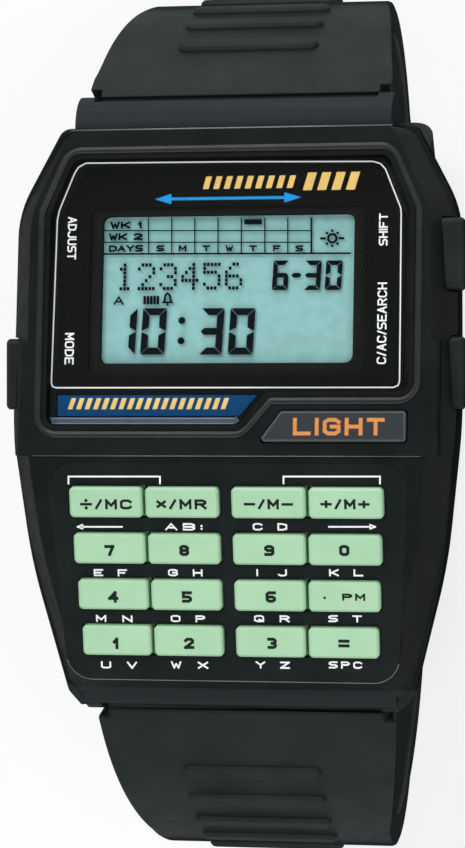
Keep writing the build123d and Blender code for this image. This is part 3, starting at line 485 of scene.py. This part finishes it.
def pen(points, width):
    """Outlines of a pen's line: square ends, mitred bends, and overlaps at sharp corners."""
    if len(points) == 1:
        return [disc(points[0], dot_share * width, 8)]
    points = [Vector(point) for point in points]
    if (points[0] - points[-1]).length < merge_distance:
        return ribbon(points[:-1], width, True)
    outlines = []
    start = 0
    for index in range(1, len(points)):
        if index < len(points) - 1:
            before = (points[index] - points[index - 1]).normalized()
            after = (points[index + 1] - points[index]).normalized()
            if before.dot(after) > sharp_turn_share:
                continue
        run = points[start:index + 1]
        head = run[0] + (run[0] - run[1]).normalized() * width / 2
        tail = run[-1] + (run[-1] - run[-2]).normalized() * width / 2
        outlines += ribbon([head] + run[1:-1] + [tail], width)
        start = index
    return outlines


def letters(text, left, right, low, high, width, gap=1.5, turn=0):
    """Outlines of a text that fills a box. Turn 1 reads upward and turn -1 downward."""
    strokes = []
    reach = 0.0
    for letter in text:
        if letter == " ":
            reach += word_space
            continue
        parts = [[(int(point[0]), int(point[1])) for point in part.split()]
                 for part in glyphs[letter].split("|")]
        first = min(x for part in parts for x, y in part)
        strokes += [[(x - first + reach, y) for x, y in part] for part in parts]
        reach += max(x for part in parts for x, y in part) - first + gap
    across, along = (high - low, right - left) if turn else (right - left, high - low)
    scale_x = (across - width) / (reach - gap)
    scale_y = (along - width) / glyph_height
    outlines = []
    for stroke in strokes:
        points = [(width / 2 + x * scale_x, width / 2 + y * scale_y) for x, y in stroke]
        if turn > 0:
            points = [(right - y, low + x) for x, y in points]
        elif turn < 0:
            points = [(left + y, high - x) for x, y in points]
        else:
            points = [(left + x, low + y) for x, y in points]
        outlines += pen(points, width)
    return outlines


def smooth_outline(corners, radius, steps=6):
    """A closed outline through the corners, each rounded by an arc."""
    outline = []
    for index, corner in enumerate(corners):
        here = Vector(corner)
        before = (Vector(corners[index - 1]) - here).normalized()
        after = (Vector(corners[(index + 1) % len(corners)]) - here).normalized()
        half_angle = before.angle(after) / 2
        reach = radius / math.tan(half_angle)
        start = here + before * reach
        end = here + after * reach
        centre = here + (before + after).normalized() * radius / math.sin(half_angle)
        for step in range(steps + 1):
            spoke = (start - centre).lerp(end - centre, step / steps).normalized()
            outline.append(tuple(centre + spoke * radius))
    return outline


def moulding(name, outline, profile, place, material, body):
    """A ring along a closed outline. Its profile gives pairs of outward reach and height."""
    form = bmesh.new()
    rows = []
    count = len(outline)
    for index, point in enumerate(outline):
        here = Vector(point)
        first = (here - Vector(outline[index - 1])).normalized()
        second = (Vector(outline[(index + 1) % count]) - here).normalized()
        bisector = (first + second).normalized()
        outward = Vector((bisector.y, -bisector.x)) / max(bisector.dot(first), mitre_limit_share)
        rows.append([form.verts.new((*(here + outward * reach), height)) for reach, height in profile])
    for index, row in enumerate(rows):
        following = rows[(index + 1) % count]
        for step in range(len(profile)):
            after = (step + 1) % len(profile)
            face = form.faces.new((row[step], row[after], following[after], following[step]))
            face.smooth = True
    bmesh.ops.recalc_face_normals(form, faces=form.faces)
    form.transform(place)
    mesh = bpy.data.meshes.new(name)
    form.to_mesh(mesh)
    form.free()
    return dress(new_piece(name, mesh), material, body)


def bead(name, points, reach, rise, place, material, body, side_count=8):
    """A slim bar with an oval section, along an open line on a face."""
    form = bmesh.new()
    rows = []
    for index, point in enumerate(points):
        before = Vector(points[max(index - 1, 0)])
        after = Vector(points[min(index + 1, len(points) - 1)])
        along = (after - before).normalized()
        across = Vector((-along.y, along.x))
        turns = [2 * math.pi * step / side_count for step in range(side_count)]
        rows.append([
            form.verts.new((*(Vector(point) + across * reach * math.cos(turn)), rise * math.sin(turn)))
            for turn in turns])
    for row, following in zip(rows, rows[1:]):
        for step in range(side_count):
            after = (step + 1) % side_count
            form.faces.new((row[step], row[after], following[after], following[step])).smooth = True
    form.faces.new(rows[0])
    form.faces.new(rows[-1])
    bmesh.ops.recalc_face_normals(form, faces=form.faces)
    form.transform(place)
    mesh = bpy.data.meshes.new(name)
    form.to_mesh(mesh)
    form.free()
    return dress(new_piece(name, mesh), material, body)


def pixel_box(place, height, left, right, top, bottom):
    """The corners, on a face, of a box seen in the photograph."""
    x0, y1 = seen(left, top, place, height)
    x1, y0 = seen(right, bottom, place, height)
    return x0, x1, y0, y1


rib_end_x = 9.3 * mm
shortest_edge = 0.15 * mm
neck_z = back_z + 3.0 * mm
bore_reach = 1.6 * mm
strap_round = 0.35 * mm
keeper_round = 0.3 * mm
frame_round = 0.25 * mm
tongue_round = 0.15 * mm


def strap_edge(edge):
    """The long side edges of a strap half, clear of its ribs, holes and neck."""
    reach = min(abs(vertex.co.x) for vertex in edge.verts)
    return reach > rib_end_x and edge.calc_length() > shortest_edge and edge.verts[0].co.z < neck_z


def frame_edge(edge):
    """The buckle frame's outer edges, clear of its bores."""
    bar_y = (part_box("buckle_bar")[0].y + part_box("buckle_bar")[1].y) / 2
    return all(abs(vertex.co.y - bar_y) > bore_reach for vertex in edge.verts)


# Nodes whose form stays

plain_nodes = {
    "case_back": back_steel, "back_gasket": seal_black, "back_screws": turned_steel,
    "crystal_seal": seal_black, "display_mask": mask_black, "accent_plate": accent_blue,
    "lcd_panel": lcd_green, "lcd_backlight": module_white, "lcd_connector": mat_grey,
    "key_mat": mat_grey, "keypad_board": board_green, "module_frame": module_white,
    "circuit_board": board_green, "battery": battery_steel, "battery_clamp": spring_steel,
    "buzzer_disc": buzzer_brass, "controller_chip": chip_black, "quartz_crystal": turned_steel,
    "pusher_springs": spring_steel, "spring_bar_upper": spring_steel, "spring_bar_lower": spring_steel,
    "buckle_bar": buckle_steel, "crystal": crystal_glass, "case_body": resin,
    "keypad_plate": plate_resin, "display_bezel": frame_black, "light_button": light_resin}
pushers = ("pusher_right_upper", "pusher_right_lower", "pusher_left_lower", "pusher_left_setting")
for pusher in pushers:
    plain_nodes[pusher] = pusher_resin
    plain_nodes[pusher + "_clip"] = spring_steel
for node in nodes:
    if node.startswith("key_r"):
        plain_nodes[node] = key_plastic
for node, material in plain_nodes.items():
    nodes[node].data.materials.clear()
    nodes[node].data.materials.append(material)

rounded("strap_upper", strap_resin, strap_round, strap_edge)
rounded("strap_lower", strap_resin, strap_round, strap_edge)
rounded("strap_keeper", strap_resin, keeper_round)
rounded("buckle_frame", buckle_steel, frame_round, frame_edge)
rounded("buckle_tongue", buckle_steel, tongue_round)


# The rounded lip of the case round the crystal

crystal_right_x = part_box("crystal")[1].x
crystal_foot_y = -0.1 * mm
crystal_foot_x = 1.1 * mm
crystal_step_x = 3.5 * mm
crystal_step_y = 2.75 * mm
crystal_cut_x = 2 * mm
crystal_cut_y = 18.05 * mm
crystal_top_y = 22.75 * mm
crystal_corner_radius = 0.9 * mm
crystal_corners = (
    (-crystal_right_x, crystal_cut_y), (-crystal_right_x, crystal_foot_y), (crystal_foot_x, crystal_foot_y),
    (crystal_step_x, crystal_step_y), (crystal_right_x, crystal_step_y), (crystal_right_x, crystal_cut_y),
    (crystal_right_x - crystal_cut_x, crystal_top_y), (crystal_cut_x - crystal_right_x, crystal_top_y))
crystal_outline = smooth_outline(crystal_corners, crystal_corner_radius)
lip_near = 0.48 * mm
lip_width = 0.62 * mm
lip_height = 0.16 * mm
lip_steps = 8
lip_profile = [(lip_near, -lip_height), (lip_near + lip_width, -lip_height)]
lip_profile += [
    (lip_near + lip_width * (1 + math.cos(math.pi * step / lip_steps)) / 2,
     lip_height * math.sin(math.pi * step / lip_steps)) for step in range(lip_steps + 1)]
moulding("crystal_lip", crystal_outline, lip_profile, display_face, lip_resin, "case")


# The thin edges that catch light: beside the upper hood, along the ridge, and round the keypad plate. Each is
# a slim bead coloured lighter than the resin beside it, a painted highlight along the edge.

edge_shares = (-1.0, -0.5, 0.0, 0.5, 1.0)
case_top_edge_y = 25.28 * mm
case_top_edge_end = 13.9 * mm
case_top_edge = [(share * case_top_edge_end, case_top_edge_y) for share in edge_shares]
case_top_edge_reach = 0.06 * mm
case_top_edge_rise = 0.03 * mm
bead("case_top_edge", case_top_edge, case_top_edge_reach, case_top_edge_rise, display_face,
     painted_glint_resin, "case")

plate_top_half_width = 15.5 * mm
plate_bottom_half_width = 14.3 * mm
plate_bottom_y = -22.2 * mm
plate_edge_end_y = -20.4 * mm
plate_corners = (
    (-plate_top_half_width, ridge_y), (-plate_bottom_half_width, plate_bottom_y),
    (plate_bottom_half_width, plate_bottom_y), (plate_top_half_width, ridge_y))
plate_corner_radius = 2.25 * mm
plate_outline = smooth_outline(plate_corners, plate_corner_radius)
plate_edge = [point for point in plate_outline if point[1] < plate_edge_end_y]
plate_lower_reach = 0.04 * mm
plate_lower_rise = 0.04 * mm
plate_side_reach = 0.035 * mm
plate_side_rise = 0.03 * mm
bead("plate_lower_edge", plate_edge, plate_lower_reach, plate_lower_rise, keypad_face,
     painted_glint_resin, "case")
for side, end in (("left", -1), ("right", 1)):
    side_edge = [point for point in plate_outline if point[0] * end > 0 and point[1] > plate_edge_end_y]
    side_edge.sort(key=lambda point: point[1])
    bead("plate_" + side + "_edge", side_edge, plate_side_reach, plate_side_rise, keypad_face,
         pusher_resin, "case")
ridge_edge_end = 16.6 * mm
ridge_edge = [(share * ridge_edge_end, ridge_y) for share in edge_shares]
ridge_edge_reach = 0.03 * mm
ridge_edge_rise = 0.02 * mm
bead("ridge_edge", ridge_edge, ridge_edge_reach, ridge_edge_rise, display_face,
     painted_glint_resin, "case")


# What is printed under the crystal

ink_low = -crystal_thickness - seat_gap
ink_args = (display_face, ink_low, ink_low + print_height)
upper_ink_share = 1.4
upper_ink_args = (display_face, ink_low + print_height, ink_low + upper_ink_share * print_height)
window_line_pixels = (
    (86, 163.2), (232, 161.8), (373, 161.4), (380.5, 163.6), (385.5, 169), (400.8, 208), (401.2, 213),
    (399.6, 381), (398, 385.6), (393, 387.4), (56, 387.8), (52.6, 386.4), (51.4, 383), (57.4, 220),
    (59.6, 210), (74.6, 173.6), (78.4, 167.4))
edge_band_pixels = ((47, 421.2), (234, 421.2), (238, 418.5))
glint_pixels = [((47, 418.2), (234, 418.2)), ((47, 423.4), (233, 423.4))]
glint_pixels += [((x, 418.4), (x, 423.2)) for x in (47.4, 50.0, 52.6)]
window_line_width = 0.115 * mm
edge_band_width = 0.50 * mm
glint_width = 0.075 * mm


def under_crystal(pixels):
    """The places on the printed plane of a line seen in the photograph."""
    return [seen(x, y, display_face, ink_low) for x, y in pixels]


window_line = ribbon(under_crystal(window_line_pixels), window_line_width, True)
flat_piece("window_line", window_line, *ink_args, painted_light_line_ink, "case", "mask_print")
edge_band = ribbon(under_crystal(edge_band_pixels), edge_band_width)
flat_piece("edge_band", edge_band, *ink_args, edge_blue, "case", "accent_blue")
# Thin pale lines along and across the blue band: painted highlights on it.
glint_outlines = []
for glint in glint_pixels:
    glint_outlines += ribbon(under_crystal(glint), glint_width)
flat_piece("edge_glints", glint_outlines, *upper_ink_args, painted_glint_ink, "case", "accent_blue")


def slanted_bars(left, right, top, bottom, count, lean, share=0.55):
    """A row of slanted bars that fills a box seen in the photograph."""
    x0, x1, y0, y1 = pixel_box(display_face, ink_low, left, right, top, bottom)
    pitch = (x1 - x0 - lean) / (count - 1 + share)
    bars = []
    for index in range(count):
        x = x0 + index * pitch
        width = pitch * share
        bars.append(((x, y0), (x + width, y0), (x + width + lean, y1), (x + lean, y1)))
    return bars


small_bars_pixels = (203, 296, 176.6, 187.8)
small_bar_count = 9
small_bar_lean = 0.30 * mm
large_bars_pixels = (303, 360, 172.5, 189.5)
large_bar_count = 4
large_bar_lean = 0.45 * mm
large_bar_share = 0.62
plate_bars_pixels = (68, 229, 398.2, 409.2)
plate_bar_count = 19
plate_bar_lean = 0.32 * mm
header_bars = slanted_bars(*small_bars_pixels, small_bar_count, small_bar_lean)
header_bars += slanted_bars(*large_bars_pixels, large_bar_count, large_bar_lean, large_bar_share)
flat_piece("header_marks", header_bars, *ink_args, gold_ink, "case", "mask_print")
plate_bars = slanted_bars(*plate_bars_pixels, plate_bar_count, plate_bar_lean)
flat_piece("plate_marks", plate_bars, *upper_ink_args, gold_ink, "case", "accent_blue")

arrow_pixels = (155, 301, 194, 202.5)
arrow_tip_share = 3.2
arrow_shaft_share = 0.55
arrow_left, arrow_right, arrow_low, arrow_high = pixel_box(display_face, ink_low, *arrow_pixels)
arrow_y = (arrow_low + arrow_high) / 2
arrow_size = (arrow_high - arrow_low) / 2
arrow_tip = arrow_tip_share * arrow_size
arrow_outlines = [
    ((arrow_left, arrow_y), (arrow_left + arrow_tip, arrow_y - arrow_size),
     (arrow_left + arrow_tip, arrow_y + arrow_size)),
    ((arrow_right, arrow_y), (arrow_right - arrow_tip, arrow_y + arrow_size),
     (arrow_right - arrow_tip, arrow_y - arrow_size))]
arrow_outlines += ribbon(
    ((arrow_left + arrow_tip, arrow_y), (arrow_right - arrow_tip, arrow_y)), arrow_shaft_share * arrow_size)
flat_piece("header_arrow", arrow_outlines, *ink_args, blue_ink, "case", "mask_print")

side_words = (
    ("ADJUST", 68.2, 76, 217, 259.5, -1), ("MODE", 65.2, 73.6, 333, 364.5, -1),
    ("SHIFT", 379.2, 387.5, 213.5, 245.5, 1), ("C/AC/SEARCH", 377.8, 386, 282.5, 364, 1))
side_pen = 0.13 * mm
side_letter_gap = 1.9
side_letters = []
for text, left, right, top, bottom, turn in side_words:
    box = pixel_box(display_face, ink_low, left, right, top, bottom)
    side_letters += letters(text, *box, side_pen, side_letter_gap, turn)
flat_piece("side_words", side_letters, *ink_args, white_ink, "case", "mask_print")


# The liquid crystal display's figures

panel_depth = 2.7 * mm
panel_margin = 1.3 * mm
view_gap = 0.05 * mm
cell_gap = 0.28 * mm
cell_high = -panel_depth + cell_gap
cell_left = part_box("lcd_panel")[0].x + panel_margin + view_gap
cell_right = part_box("lcd_panel")[1].x - panel_margin - view_gap
window_low_y = 5.4 * mm
window_high_y = 18.15 * mm
cell_low_y = window_low_y + view_gap
cell_high_y = window_high_y - view_gap
cell_corner_radius = 0.65 * mm
lcd_args = (display_face, cell_high, cell_high + print_height)


def lcd_point(pixel_x, pixel_y):
    """The place on the display's glass of a point seen in the photograph."""
    return seen(pixel_x, pixel_y, display_face, cell_high)


def lcd_box(left, right, top, bottom):
    """The sides, on the display's glass, of a box seen in the photograph."""
    return pixel_box(display_face, cell_high, left, right, top, bottom)


def rectangle(x0, x1, y0, y1):
    """The corners of an upright box."""
    return (x0, y0), (x1, y0), (x1, y1), (x0, y1)


cell_corners = rectangle(cell_left, cell_right, cell_low_y, cell_high_y)
cell_outline = smooth_outline(cell_corners, cell_corner_radius)
flat_piece("lcd_cell", [cell_outline], display_face, -panel_depth + print_height, cell_high, cell_glass,
           "case", "lcd_glass")

digit_segments = {
    "0": "abcdef", "1": "bc", "2": "abged", "3": "abgcd", "4": "fgbc",
    "5": "afgcd", "6": "afgedc", "7": "abc", "8": "abcdefg", "9": "abcdfg", "-": "g"}


def segment_digit(digit, left, right, low, high, thick, gap, lean=0.05):
    """The lit segments of one digit, mitred where they meet, leaning to the right."""
    middle = (low + high) / 2
    half = thick / 2
    outlines = []
    for segment in digit_segments[digit]:
        if segment == "g":
            near, far = left + half + gap, right - half - gap
            outline = (
                (left + gap, middle), (near, middle - half), (far, middle - half),
                (right - gap, middle), (far, middle + half), (near, middle + half))
        elif segment in "ad":
            edge, inner = (high, high - thick) if segment == "a" else (low, low + thick)
            outline = (
                (left + gap, edge), (right - gap, edge),
                (right - thick - gap, inner), (left + thick + gap, inner))
        else:
            edge, inner = (right, right - thick) if segment in "bc" else (left, left + thick)
            far, away = (high, -1) if segment in "bf" else (low, 1)
            outline = (
                (edge, far + away * gap), (edge, middle - away * gap),
                (inner, middle - away * (half + gap)), (inner, far + away * (thick + gap)))
        outlines.append([(px + (py - low) * lean, py) for px, py in outline])
    return outlines


figures = []
time_digits = (("1", 116, 134.5), ("0", 141, 164), ("3", 199.5, 221.5), ("0", 228.5, 252.5))
time_height_pixels = (308.3, 354.5)
time_thick = 0.60 * mm
time_gap = 0.04 * mm
for digit, left, right in time_digits:
    figures += segment_digit(digit, *lcd_box(left, right, *time_height_pixels), time_thick, time_gap)
date_digits = (("6", 272.3, 287.5), ("-", 290.5, 301), ("3", 304, 320), ("0", 325, 341))
date_height_pixels = (260.6, 290)
date_thick = 0.40 * mm
date_gap = 0.03 * mm
for digit, left, right in date_digits:
    figures += segment_digit(digit, *lcd_box(left, right, *date_height_pixels), date_thick, date_gap)
colon_pixels = ((181.9, 320.5), (181, 340.8))
dot_radius = 0.31 * mm
figures += [disc(lcd_point(x, y), dot_radius) for x, y in colon_pixels]

matrix_rows = (
    ("..#..", ".##..", "..#..", "..#..", "..#..", "..#..", ".###."),
    (".###.", "#...#", "....#", "...#.", "..#..", ".#...", "#####"),
    (".###.", "#...#", "....#", "..##.", "....#", "#...#", ".###."),
    ("...#.", "..##.", ".#.#.", "#..#.", "#####", "...#.", "...#."),
    ("#####", "#....", "####.", "....#", "....#", "#...#", ".###."),
    ("..##.", ".#...", "#....", "####.", "#...#", "#...#", ".###."))
matrix_pixels = (116.5, 243, 263, 289.5)
matrix_left, matrix_right, matrix_low, matrix_high = lcd_box(*matrix_pixels)
dots_across = len(matrix_rows[0][0]) + 1
character_pitch = (matrix_right - matrix_left) / (len(matrix_rows) - 1 / dots_across)
dot_x = character_pitch / dots_across
dot_y = (matrix_high - matrix_low) / len(matrix_rows[0])
dot_fill_x = 0.76
dot_fill_y = 0.84
for place_index, rows in enumerate(matrix_rows):
    for row, dots in enumerate(rows):
        for column, dot in enumerate(dots):
            if dot == "#":
                x = matrix_left + place_index * character_pitch + column * dot_x
                y = matrix_high - (row + 1) * dot_y
                figures.append(rectangle(x, x + dot_x * dot_fill_x, y, y + dot_y * dot_fill_y))

grid_line = 0.10 * mm
strong_line = 0.15 * mm
strong_lines_pixels = (((104, 254), (351, 253.2)), ((311.4, 217.5), (311.4, 253.5)))
grid_rows_pixels = (230.7, 242.3)
grid_ends_pixels = (104, 311.5)
grid_columns_pixels = (148.5, 171.8, 194.8, 218, 241.3, 264.8, 287.8)
grid_height_pixels = (217.5, 253.5)
for y in grid_rows_pixels:
    figures += ribbon([lcd_point(x, y) for x in grid_ends_pixels], grid_line)
for ends in strong_lines_pixels:
    figures += ribbon([lcd_point(x, y) for x, y in ends], strong_line)
for x in grid_columns_pixels:
    figures += ribbon([lcd_point(x, y) for y in grid_height_pixels], grid_line)
day_mark_pixels = (244.3, 261.8, 219.3, 224.3)
figures.append(rectangle(*lcd_box(*day_mark_pixels)))

sun_pixel = (332.3, 238.3)
sun_centre = Vector(lcd_point(*sun_pixel))
sun_radius = 0.36 * mm
sun_pen = 0.20 * mm
ray_count = 8
ray_start_share = 1.5
short_ray_share = 2.1
long_ray_share = 2.9
figures += ribbon(disc(sun_centre, sun_radius), sun_pen, True)
for index in range(ray_count):
    turn = 2 * math.pi * index / ray_count
    reach = Vector((math.cos(turn), math.sin(turn))) * sun_radius
    end_share = long_ray_share if index in (0, ray_count // 2) else short_ray_share
    figures += ribbon((sun_centre + reach * ray_start_share, sun_centre + reach * end_share), sun_pen)

meter_bar_count = 5
meter_bar_pixels = (143.5, 145.9)
meter_pitch_pixels = 3.3
meter_height_pixels = (296, 304.3)
for index in range(meter_bar_count):
    sides = [side + meter_pitch_pixels * index for side in meter_bar_pixels]
    figures.append(rectangle(*lcd_box(*sides, *meter_height_pixels)))
bell_pixels = (
    (163.2, 302.4), (164.8, 300.4), (165.0, 296.8), (166, 294.6), (167.6, 293.6), (169.2, 294.6),
    (170.2, 296.8), (170.4, 300.4), (172, 302.4))
clapper_pixel = (167.6, 304.4)
bell_pen = 0.18 * mm
clapper_radius = 0.11 * mm
clapper_sides = 8
figures += ribbon([lcd_point(x, y) for x, y in bell_pixels], bell_pen, True)
figures.append(disc(lcd_point(*clapper_pixel), clapper_radius, clapper_sides))

alarm_pen = 0.15 * mm
week_pen = 0.17 * mm
days_pen = 0.155 * mm
day_pen = 0.145 * mm
lcd_letter_gap = 1.6
lcd_words = [
    ("A", 113.7, 123.9, 296.4, 304.8, alarm_pen), ("WK 1", 110.5, 141.5, 221.8, 228.4, week_pen),
    ("WK 2", 109, 142.5, 233.5, 240.1, week_pen), ("DAYS", 109, 143, 245.4, 251.6, days_pen)]
day_lefts = (156.5, 178.8, 202.5, 225.5, 249.3, 273, 295.5)
day_width_pixels = 7.6
day_height_pixels = (245.4, 251.4)
for day, left in zip("SMTWTFS", day_lefts):
    lcd_words.append((day, left, left + day_width_pixels, *day_height_pixels, day_pen))
for text, left, right, top, bottom, width in lcd_words:
    figures += letters(text, *lcd_box(left, right, top, bottom), width, lcd_letter_gap)
flat_piece("lcd_figures", figures, *lcd_args, lcd_ink, "case", "lcd_glass")


# The light button's word

light_word_pixels = (293.2, 384.4, 418, 435.4)
light_pen = 0.31 * mm
light_rim_spare = 0.09 * mm
light_rim_height = 0.012 * mm
light_word_height = 0.024 * mm
light_letter_gap = 2.3
# Under each orange letter lies a wider dark brown stroke: painted shade round the raised letters.
light_words = (
    ("light_word_shade", light_rim_spare, light_rim_height, painted_shade_ink),
    ("light_word", 0, light_word_height, orange_ink))
left, right, low, high = pixel_box(display_face, light_top, *light_word_pixels)
for name, spare_width, height, ink in light_words:
    spare = spare_width / 2
    box = (left - spare, right + spare, low - spare, high + spare)
    outlines = letters("LIGHT", *box, light_pen + spare_width, light_letter_gap)
    flat_piece(
        name, outlines, display_face, light_top, light_top + height, ink, "light_button", "button_resin")


# Legends on the keys and on the keypad plate

digit_pen = 0.26 * mm
word_pen = 0.215 * mm
small_pen = 0.165 * mm
key_letter_gap = 2.4
key_legends = (
    (("d/MC", 80, 132, 499.2, 509.4), ("x/MR", 156.3, 206.7, 499.2, 509.4),
     ("-/M-", 243.7, 293, 499.2, 509.4), ("+/M+", 320.3, 369.7, 499.2, 509.4)),
    (("7", 104.3, 114.7, 545, 556), ("8", 179, 189.3, 545, 556),
     ("9", 264, 274.5, 545, 556), ("0", 339, 349.5, 545, 556)),
    (("4", 108, 118.7, 591.2, 602.7), ("5", 181.7, 192.2, 591.2, 602.7),
     ("6", 265.4, 276.2, 591.2, 602.7), (".  PM", 323.5, 365.3, 593.4, 600.8)),
    (("1", 112.6, 118.6, 637.7, 649), ("2", 184, 194.4, 637.7, 649),
     ("3", 267.2, 277, 637.7, 649), ("=", 338.2, 349.6, 638.4, 648.6)))
for row, legends in enumerate(key_legends):
    for column, (text, left, right, top, bottom) in enumerate(legends):
        node = "key_r%d_c%d" % (row + 1, column + 1)
        width = digit_pen if len(text) == 1 else small_pen if text.startswith(".") else word_pen
        box = pixel_box(keypad_face, key_top, left, right, top, bottom)
        outlines = letters(text, *box, width, key_letter_gap)
        flat_piece(node + "_legend", outlines, keypad_face, key_top, key_top + print_height,
                   key_ink, node, "key_green")

# Each row of words between the keys: its top, its foot, and each word with its left and right
plate_word_rows = (
    (523, 530.6, (("<", 76.8, 83.5), ("AB:", 165, 202.5), ("C  D", 252.7, 287.3), (">", 369.3, 376))),
    (569, 576.4, (("E  F", 93.7, 127.3), ("G  H", 168, 202.7), ("I   J", 256.3, 287), ("K  L", 329, 363.3))),
    (615, 622.4, (("M  N", 96, 132.7), ("O  P", 170.7, 205.3), ("Q  R", 254, 289.7), ("S  T", 328.3, 362))),
    (661.2, 668.8, (("U  V", 101, 137.3), ("W  X", 171, 208.3), ("Y  Z", 255.7, 290), ("SPC", 328.7, 362.3))))
plate_pen = 0.14 * mm
plate_letter_gap = 1.5
open_letter_gap = 2.8
plate_prints = []
for top, bottom, words in plate_word_rows:
    for text, left, right in words:
        gap = open_letter_gap if text in ("AB:", "SPC") else plate_letter_gap
        plate_prints += letters(text, *pixel_box(keypad_face, 0, left, right, top, bottom), plate_pen, gap)
bracket_ends_pixels = ((68.5, 160), (283.5, 380))
bracket_top = 476.5
bracket_foot = 483.5
for left, right in bracket_ends_pixels:
    corners = ((left, bracket_foot), (left, bracket_top), (right, bracket_top), (right, bracket_foot))
    plate_prints += pen([seen(x, y, keypad_face) for x, y in corners], plate_pen)
shaft_ends_pixels = ((83, 122), (329, 370))
shaft_y = 526.8
for ends in shaft_ends_pixels:
    plate_prints += pen([seen(x, shaft_y, keypad_face) for x in ends], plate_pen)
flat_piece("plate_prints", plate_prints, keypad_face, 0, print_height, white_ink, "case", "keypad_resin")


# Floor, light and camera

def sight_share(tree, share):
    """A share for rays from the camera, from mirrors and through glass, and zero for all others."""
    path = tree.nodes.new("ShaderNodeLightPath")
    total = path.outputs["Is Camera Ray"]
    for kind in ("Is Glossy Ray", "Is Transmission Ray"):
        both = tree.nodes.new("ShaderNodeMath")
        both.use_clamp = True
        tree.links.new(total, both.inputs[0])
        tree.links.new(path.outputs[kind], both.inputs[1])
        total = both.outputs["Value"]
    scaled = tree.nodes.new("ShaderNodeMath")
    scaled.operation = "MULTIPLY"
    scaled.inputs[1].default_value = share
    tree.links.new(total, scaled.inputs[0])
    return scaled.outputs["Value"]


def camera_white(tree, shader_output, output, colour, share):
    """Show part of a surface as plain white, and its shadows with it."""
    white = tree.nodes.new("ShaderNodeEmission")
    white.inputs["Color"].default_value = (*colour, 1)
    mix = tree.nodes.new("ShaderNodeMixShader")
    tree.links.new(sight_share(tree, share), mix.inputs["Fac"])
    tree.links.new(shader_output, mix.inputs[1])
    tree.links.new(white.outputs["Emission"], mix.inputs[2])
    tree.links.new(mix.outputs["Shader"], output)


floor_colour = (0.80, 0.80, 0.80)
floor_second_colour = (0.78, 0.78, 0.785)
floor_roughness = 0.9
floor_white_share = 0.72


def floor_material():
    """Matte pale board, seen partly as plain white."""
    material, tree, shader, output = shader_tree("floor")
    shade = spread(tree, noise(tree, floor_scale), 0.0, 1.0)
    tree.links.new(mixed(tree, shade, floor_colour, floor_second_colour), shader.inputs["Base Color"])
    shader.inputs["Roughness"].default_value = floor_roughness
    camera_white(tree, shader.outputs["BSDF"], output.inputs["Surface"], (1.0, 1.0, 1.0), floor_white_share)
    return material


floor_half = 1.5
floor_mesh = bpy.data.meshes.new("floor")
floor_corners = [(x * floor_half, y * floor_half, 0) for x, y in ((-1, -1), (1, -1), (1, 1), (-1, 1))]
floor_mesh.from_pydata(floor_corners, [], [(0, 1, 2, 3)])
floor = new_piece("floor", floor_mesh)
floor.data.materials.append(floor_material())


def lamp(name, place, size, power):
    """A square soft lamp that faces the watch."""
    light = bpy.data.lights.new(name, "AREA")
    light.shape = "SQUARE"
    light.size = size
    light.energy = power
    holder = bpy.data.objects.new(name, light)
    bpy.context.scene.collection.objects.link(holder)
    holder.location = place
    holder.rotation_mode = "QUATERNION"
    holder.rotation_quaternion = (camera_target - holder.location).to_track_quat("-Z", "Y")


# Each lamp's place and size in metres, and its power in watts
lamps = (
    ("key_lamp", (-0.22, 0.50, 0.72), 0.36, 3.4), ("fill_lamp", (0.32, -0.10, 0.64), 0.40, 1.3),
    ("low_lamp", (-0.08, -0.56, 0.52), 0.40, 1.9), ("rim_lamp", (-0.05, 0.80, 0.24), 0.25, 2.8))
for name, place, size, power in lamps:
    lamp(name, Vector(place), size, power)

world = bpy.data.worlds.new("world")
world.use_nodes = True
background = world.node_tree.nodes["Background"]
background.inputs["Color"].default_value = (1, 1, 1, 1)
world_strength = 0.42
strength = world.node_tree.nodes.new("ShaderNodeMath")
strength.inputs[1].default_value = world_strength
sight = sight_share(world.node_tree, 1 - world_strength)
world.node_tree.links.new(sight, strength.inputs[0])
world.node_tree.links.new(strength.outputs["Value"], background.inputs["Strength"])
bpy.context.scene.world = world
bpy.context.scene.view_settings.view_transform = "Standard"

camera_data = bpy.data.cameras.new("camera")
camera_data.sensor_width = sensor_size
camera_data.lens = focal_pixels / photo_height * sensor_size
camera_data.clip_start = 0.01
camera_data.clip_end = 10
camera = bpy.data.objects.new("camera", camera_data)
bpy.context.scene.collection.objects.link(camera)
turned = Matrix((camera_right, camera_up, camera_back)).transposed()
camera.matrix_world = Matrix.Translation(camera_place) @ turned.to_4x4()
bpy.context.scene.camera = camera
